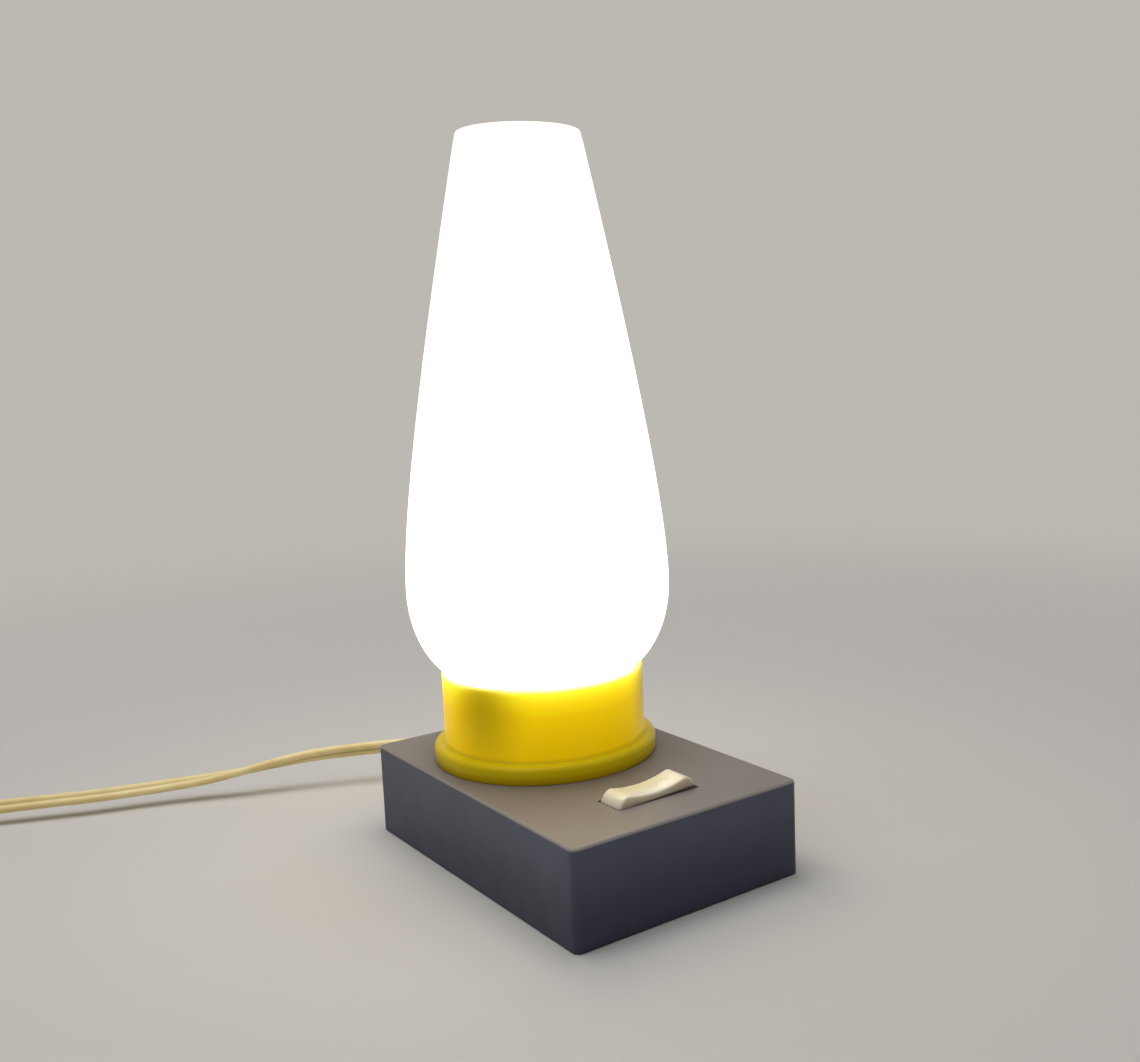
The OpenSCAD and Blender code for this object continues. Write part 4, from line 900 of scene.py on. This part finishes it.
addCamera()
finishes = {
    "grey_plastic": greyAbs(),
    "yellow_plastic": yellowStyrene(),
    "opal_glass": opalGlass(),
    # extruded PVC: satin, a little grubby, with painted shade in the groove
    "cord_pvc": cloudedFinish("creamPvc", "#e8d18c", "#f8e8b0", cloud=14, rough=0.45, grain=0.7, depth=0.03,
                              groove="#75603a"),
    # moulded urea: a hard gloss that lets a little light in, with painted shade where it goes into its slot
    "cream_plastic": cloudedFinish("creamUrea", "#f0e7d1", "#f9f3e3", cloud=9, rough=0.26, grain=1.2,
                                   depth=0.01, coat=0.3, milky=0.6, groove="#84766a"),
    # zinc plate: dull bright and cloudy
    "plated_steel": cloudedFinish("zincSteel", "#a9aaab", "#c6c7c6", cloud=5, rough=0.34, grain=0.5,
                                  depth=0.01, metal=1),
    # moulded rubber: matt, picks up dust
    "black_rubber": cloudedFinish("blackRubber", "#161616", "#232322", cloud=3, rough=0.8, grain=0.5,
                                  depth=0.05),
    # drawn brass: lines along its length and some tarnish
    "brass": cloudedFinish("drawnBrass", "#a98340", "#c9a45a", cloud=6, rough=0.3, grain=0.4, depth=0.01,
                           metal=1, stretch=(1, 1, 0.2)),
    # pressed phenolic: a mottled gloss
    "black_phenolic": cloudedFinish("blackPhenolic", "#17120f", "#241d19", cloud=8, rough=0.3, grain=1,
                                    depth=0.02, coat=0.2),
    # porcelain: wet-looking glaze over a grey body
    "white_porcelain": cloudedFinish("glazedPorcelain", "#e2dccd", "#efeade", cloud=7, rough=0.2, grain=1.5,
                                     depth=0.02, coat=0.5),
    # bulb glass frosted inside: an even lit white
    "bulb_glass": cloudedFinish("pearlBulb", "#fff0cf", "#fffaf0", cloud=20, rough=0.35, grain=1, depth=0.01,
                                glow=0.95),
    # spun aluminium: fine turning rings
    "cap_metal": cloudedFinish("spunAluminium", "#b9b7ae", "#d2d0c6", cloud=5, rough=0.3, grain=0.4,
                               depth=0.01, metal=1, stretch=(1, 1, 6)),
    # fused black glass: a deep gloss
    "black_glass": cloudedFinish("fusedGlass", "#0d0d0f", "#191a1d", cloud=4, rough=0.15, grain=1,
                                 depth=0.01),
    # drawn nickel wire: a soft shine
    "lead_metal": cloudedFinish("nickelWire", "#a19a8a", "#bfb9aa", cloud=2, rough=0.35, grain=0.3,
                                depth=0.01, metal=1),
    # wound tungsten wire: white hot
    "tungsten": cloudedFinish("litTungsten", "#ffd48a", "#fff0c8", cloud=1, rough=0.5, grain=0.3, depth=0.01,
                              glow=1.0),
    # moulded nylon: waxy white
    "white_nylon": cloudedFinish("whiteNylon", "#dedbd2", "#eceae3", cloud=3, rough=0.45, grain=0.6,
                                 depth=0.02),
    # moulded nylon strap: milky and satin
    "tie_plastic": cloudedFinish("nylonBand", "#dcdad2", "#eae8e1", cloud=3, rough=0.42, grain=0.5,
                                 depth=0.02),
    # PVC moulded round the cord's end: satin, a shade darker than the cord
    "plug_pvc": cloudedFinish("mouldedPvc", "#d6c490", "#e4d5a8", cloud=9, rough=0.42, grain=0.9, depth=0.04),
    # nickel plate: bright, worn along the pins
    "pin_metal": cloudedFinish("nickelPins", "#b5b3ad", "#cfcdc6", cloud=4, rough=0.25, grain=0.4, depth=0.01,
                               metal=1, stretch=(1, 0.2, 1)),
}
# the leads inside the base: extruded PVC, satin
for slot, name, dark, light in (("brown_wire", "brownPvc", "#4f2c17", "#653a20"),
                                ("blue_wire", "bluePvc", "#27508f", "#3563a6"),
                                ("black_wire", "blackPvc", "#161616", "#262626")):
    finishes[slot] = cloudedFinish(name, dark, light, cloud=4, rough=0.45, grain=0.6, depth=0.02)
for name, node in frame["nodes"].items():
    node.data.materials.clear()
    node.data.materials.append(finishes[pieceSlots[name]])
print("materials made:", len(finishes))

cordPiece, cordExit, cordLine = makeCord(finishes["cord_pvc"])
plugBody, plugPins = makePlug(finishes["plug_pvc"], finishes["pin_metal"])
coilBand = makeBand(finishes["tie_plastic"])
cordSleeve = makeSleeve(finishes["cord_pvc"])
makeBase(finishes["grey_plastic"])
makeCollar(finishes["yellow_plastic"])
makeShade(finishes["opal_glass"])
makeRocker(finishes["cream_plastic"])
makeFeet(finishes["black_rubber"])
makePlateScrews(finishes["plated_steel"])
makeGlobe(finishes["bulb_glass"])
addFloor()
addLight()
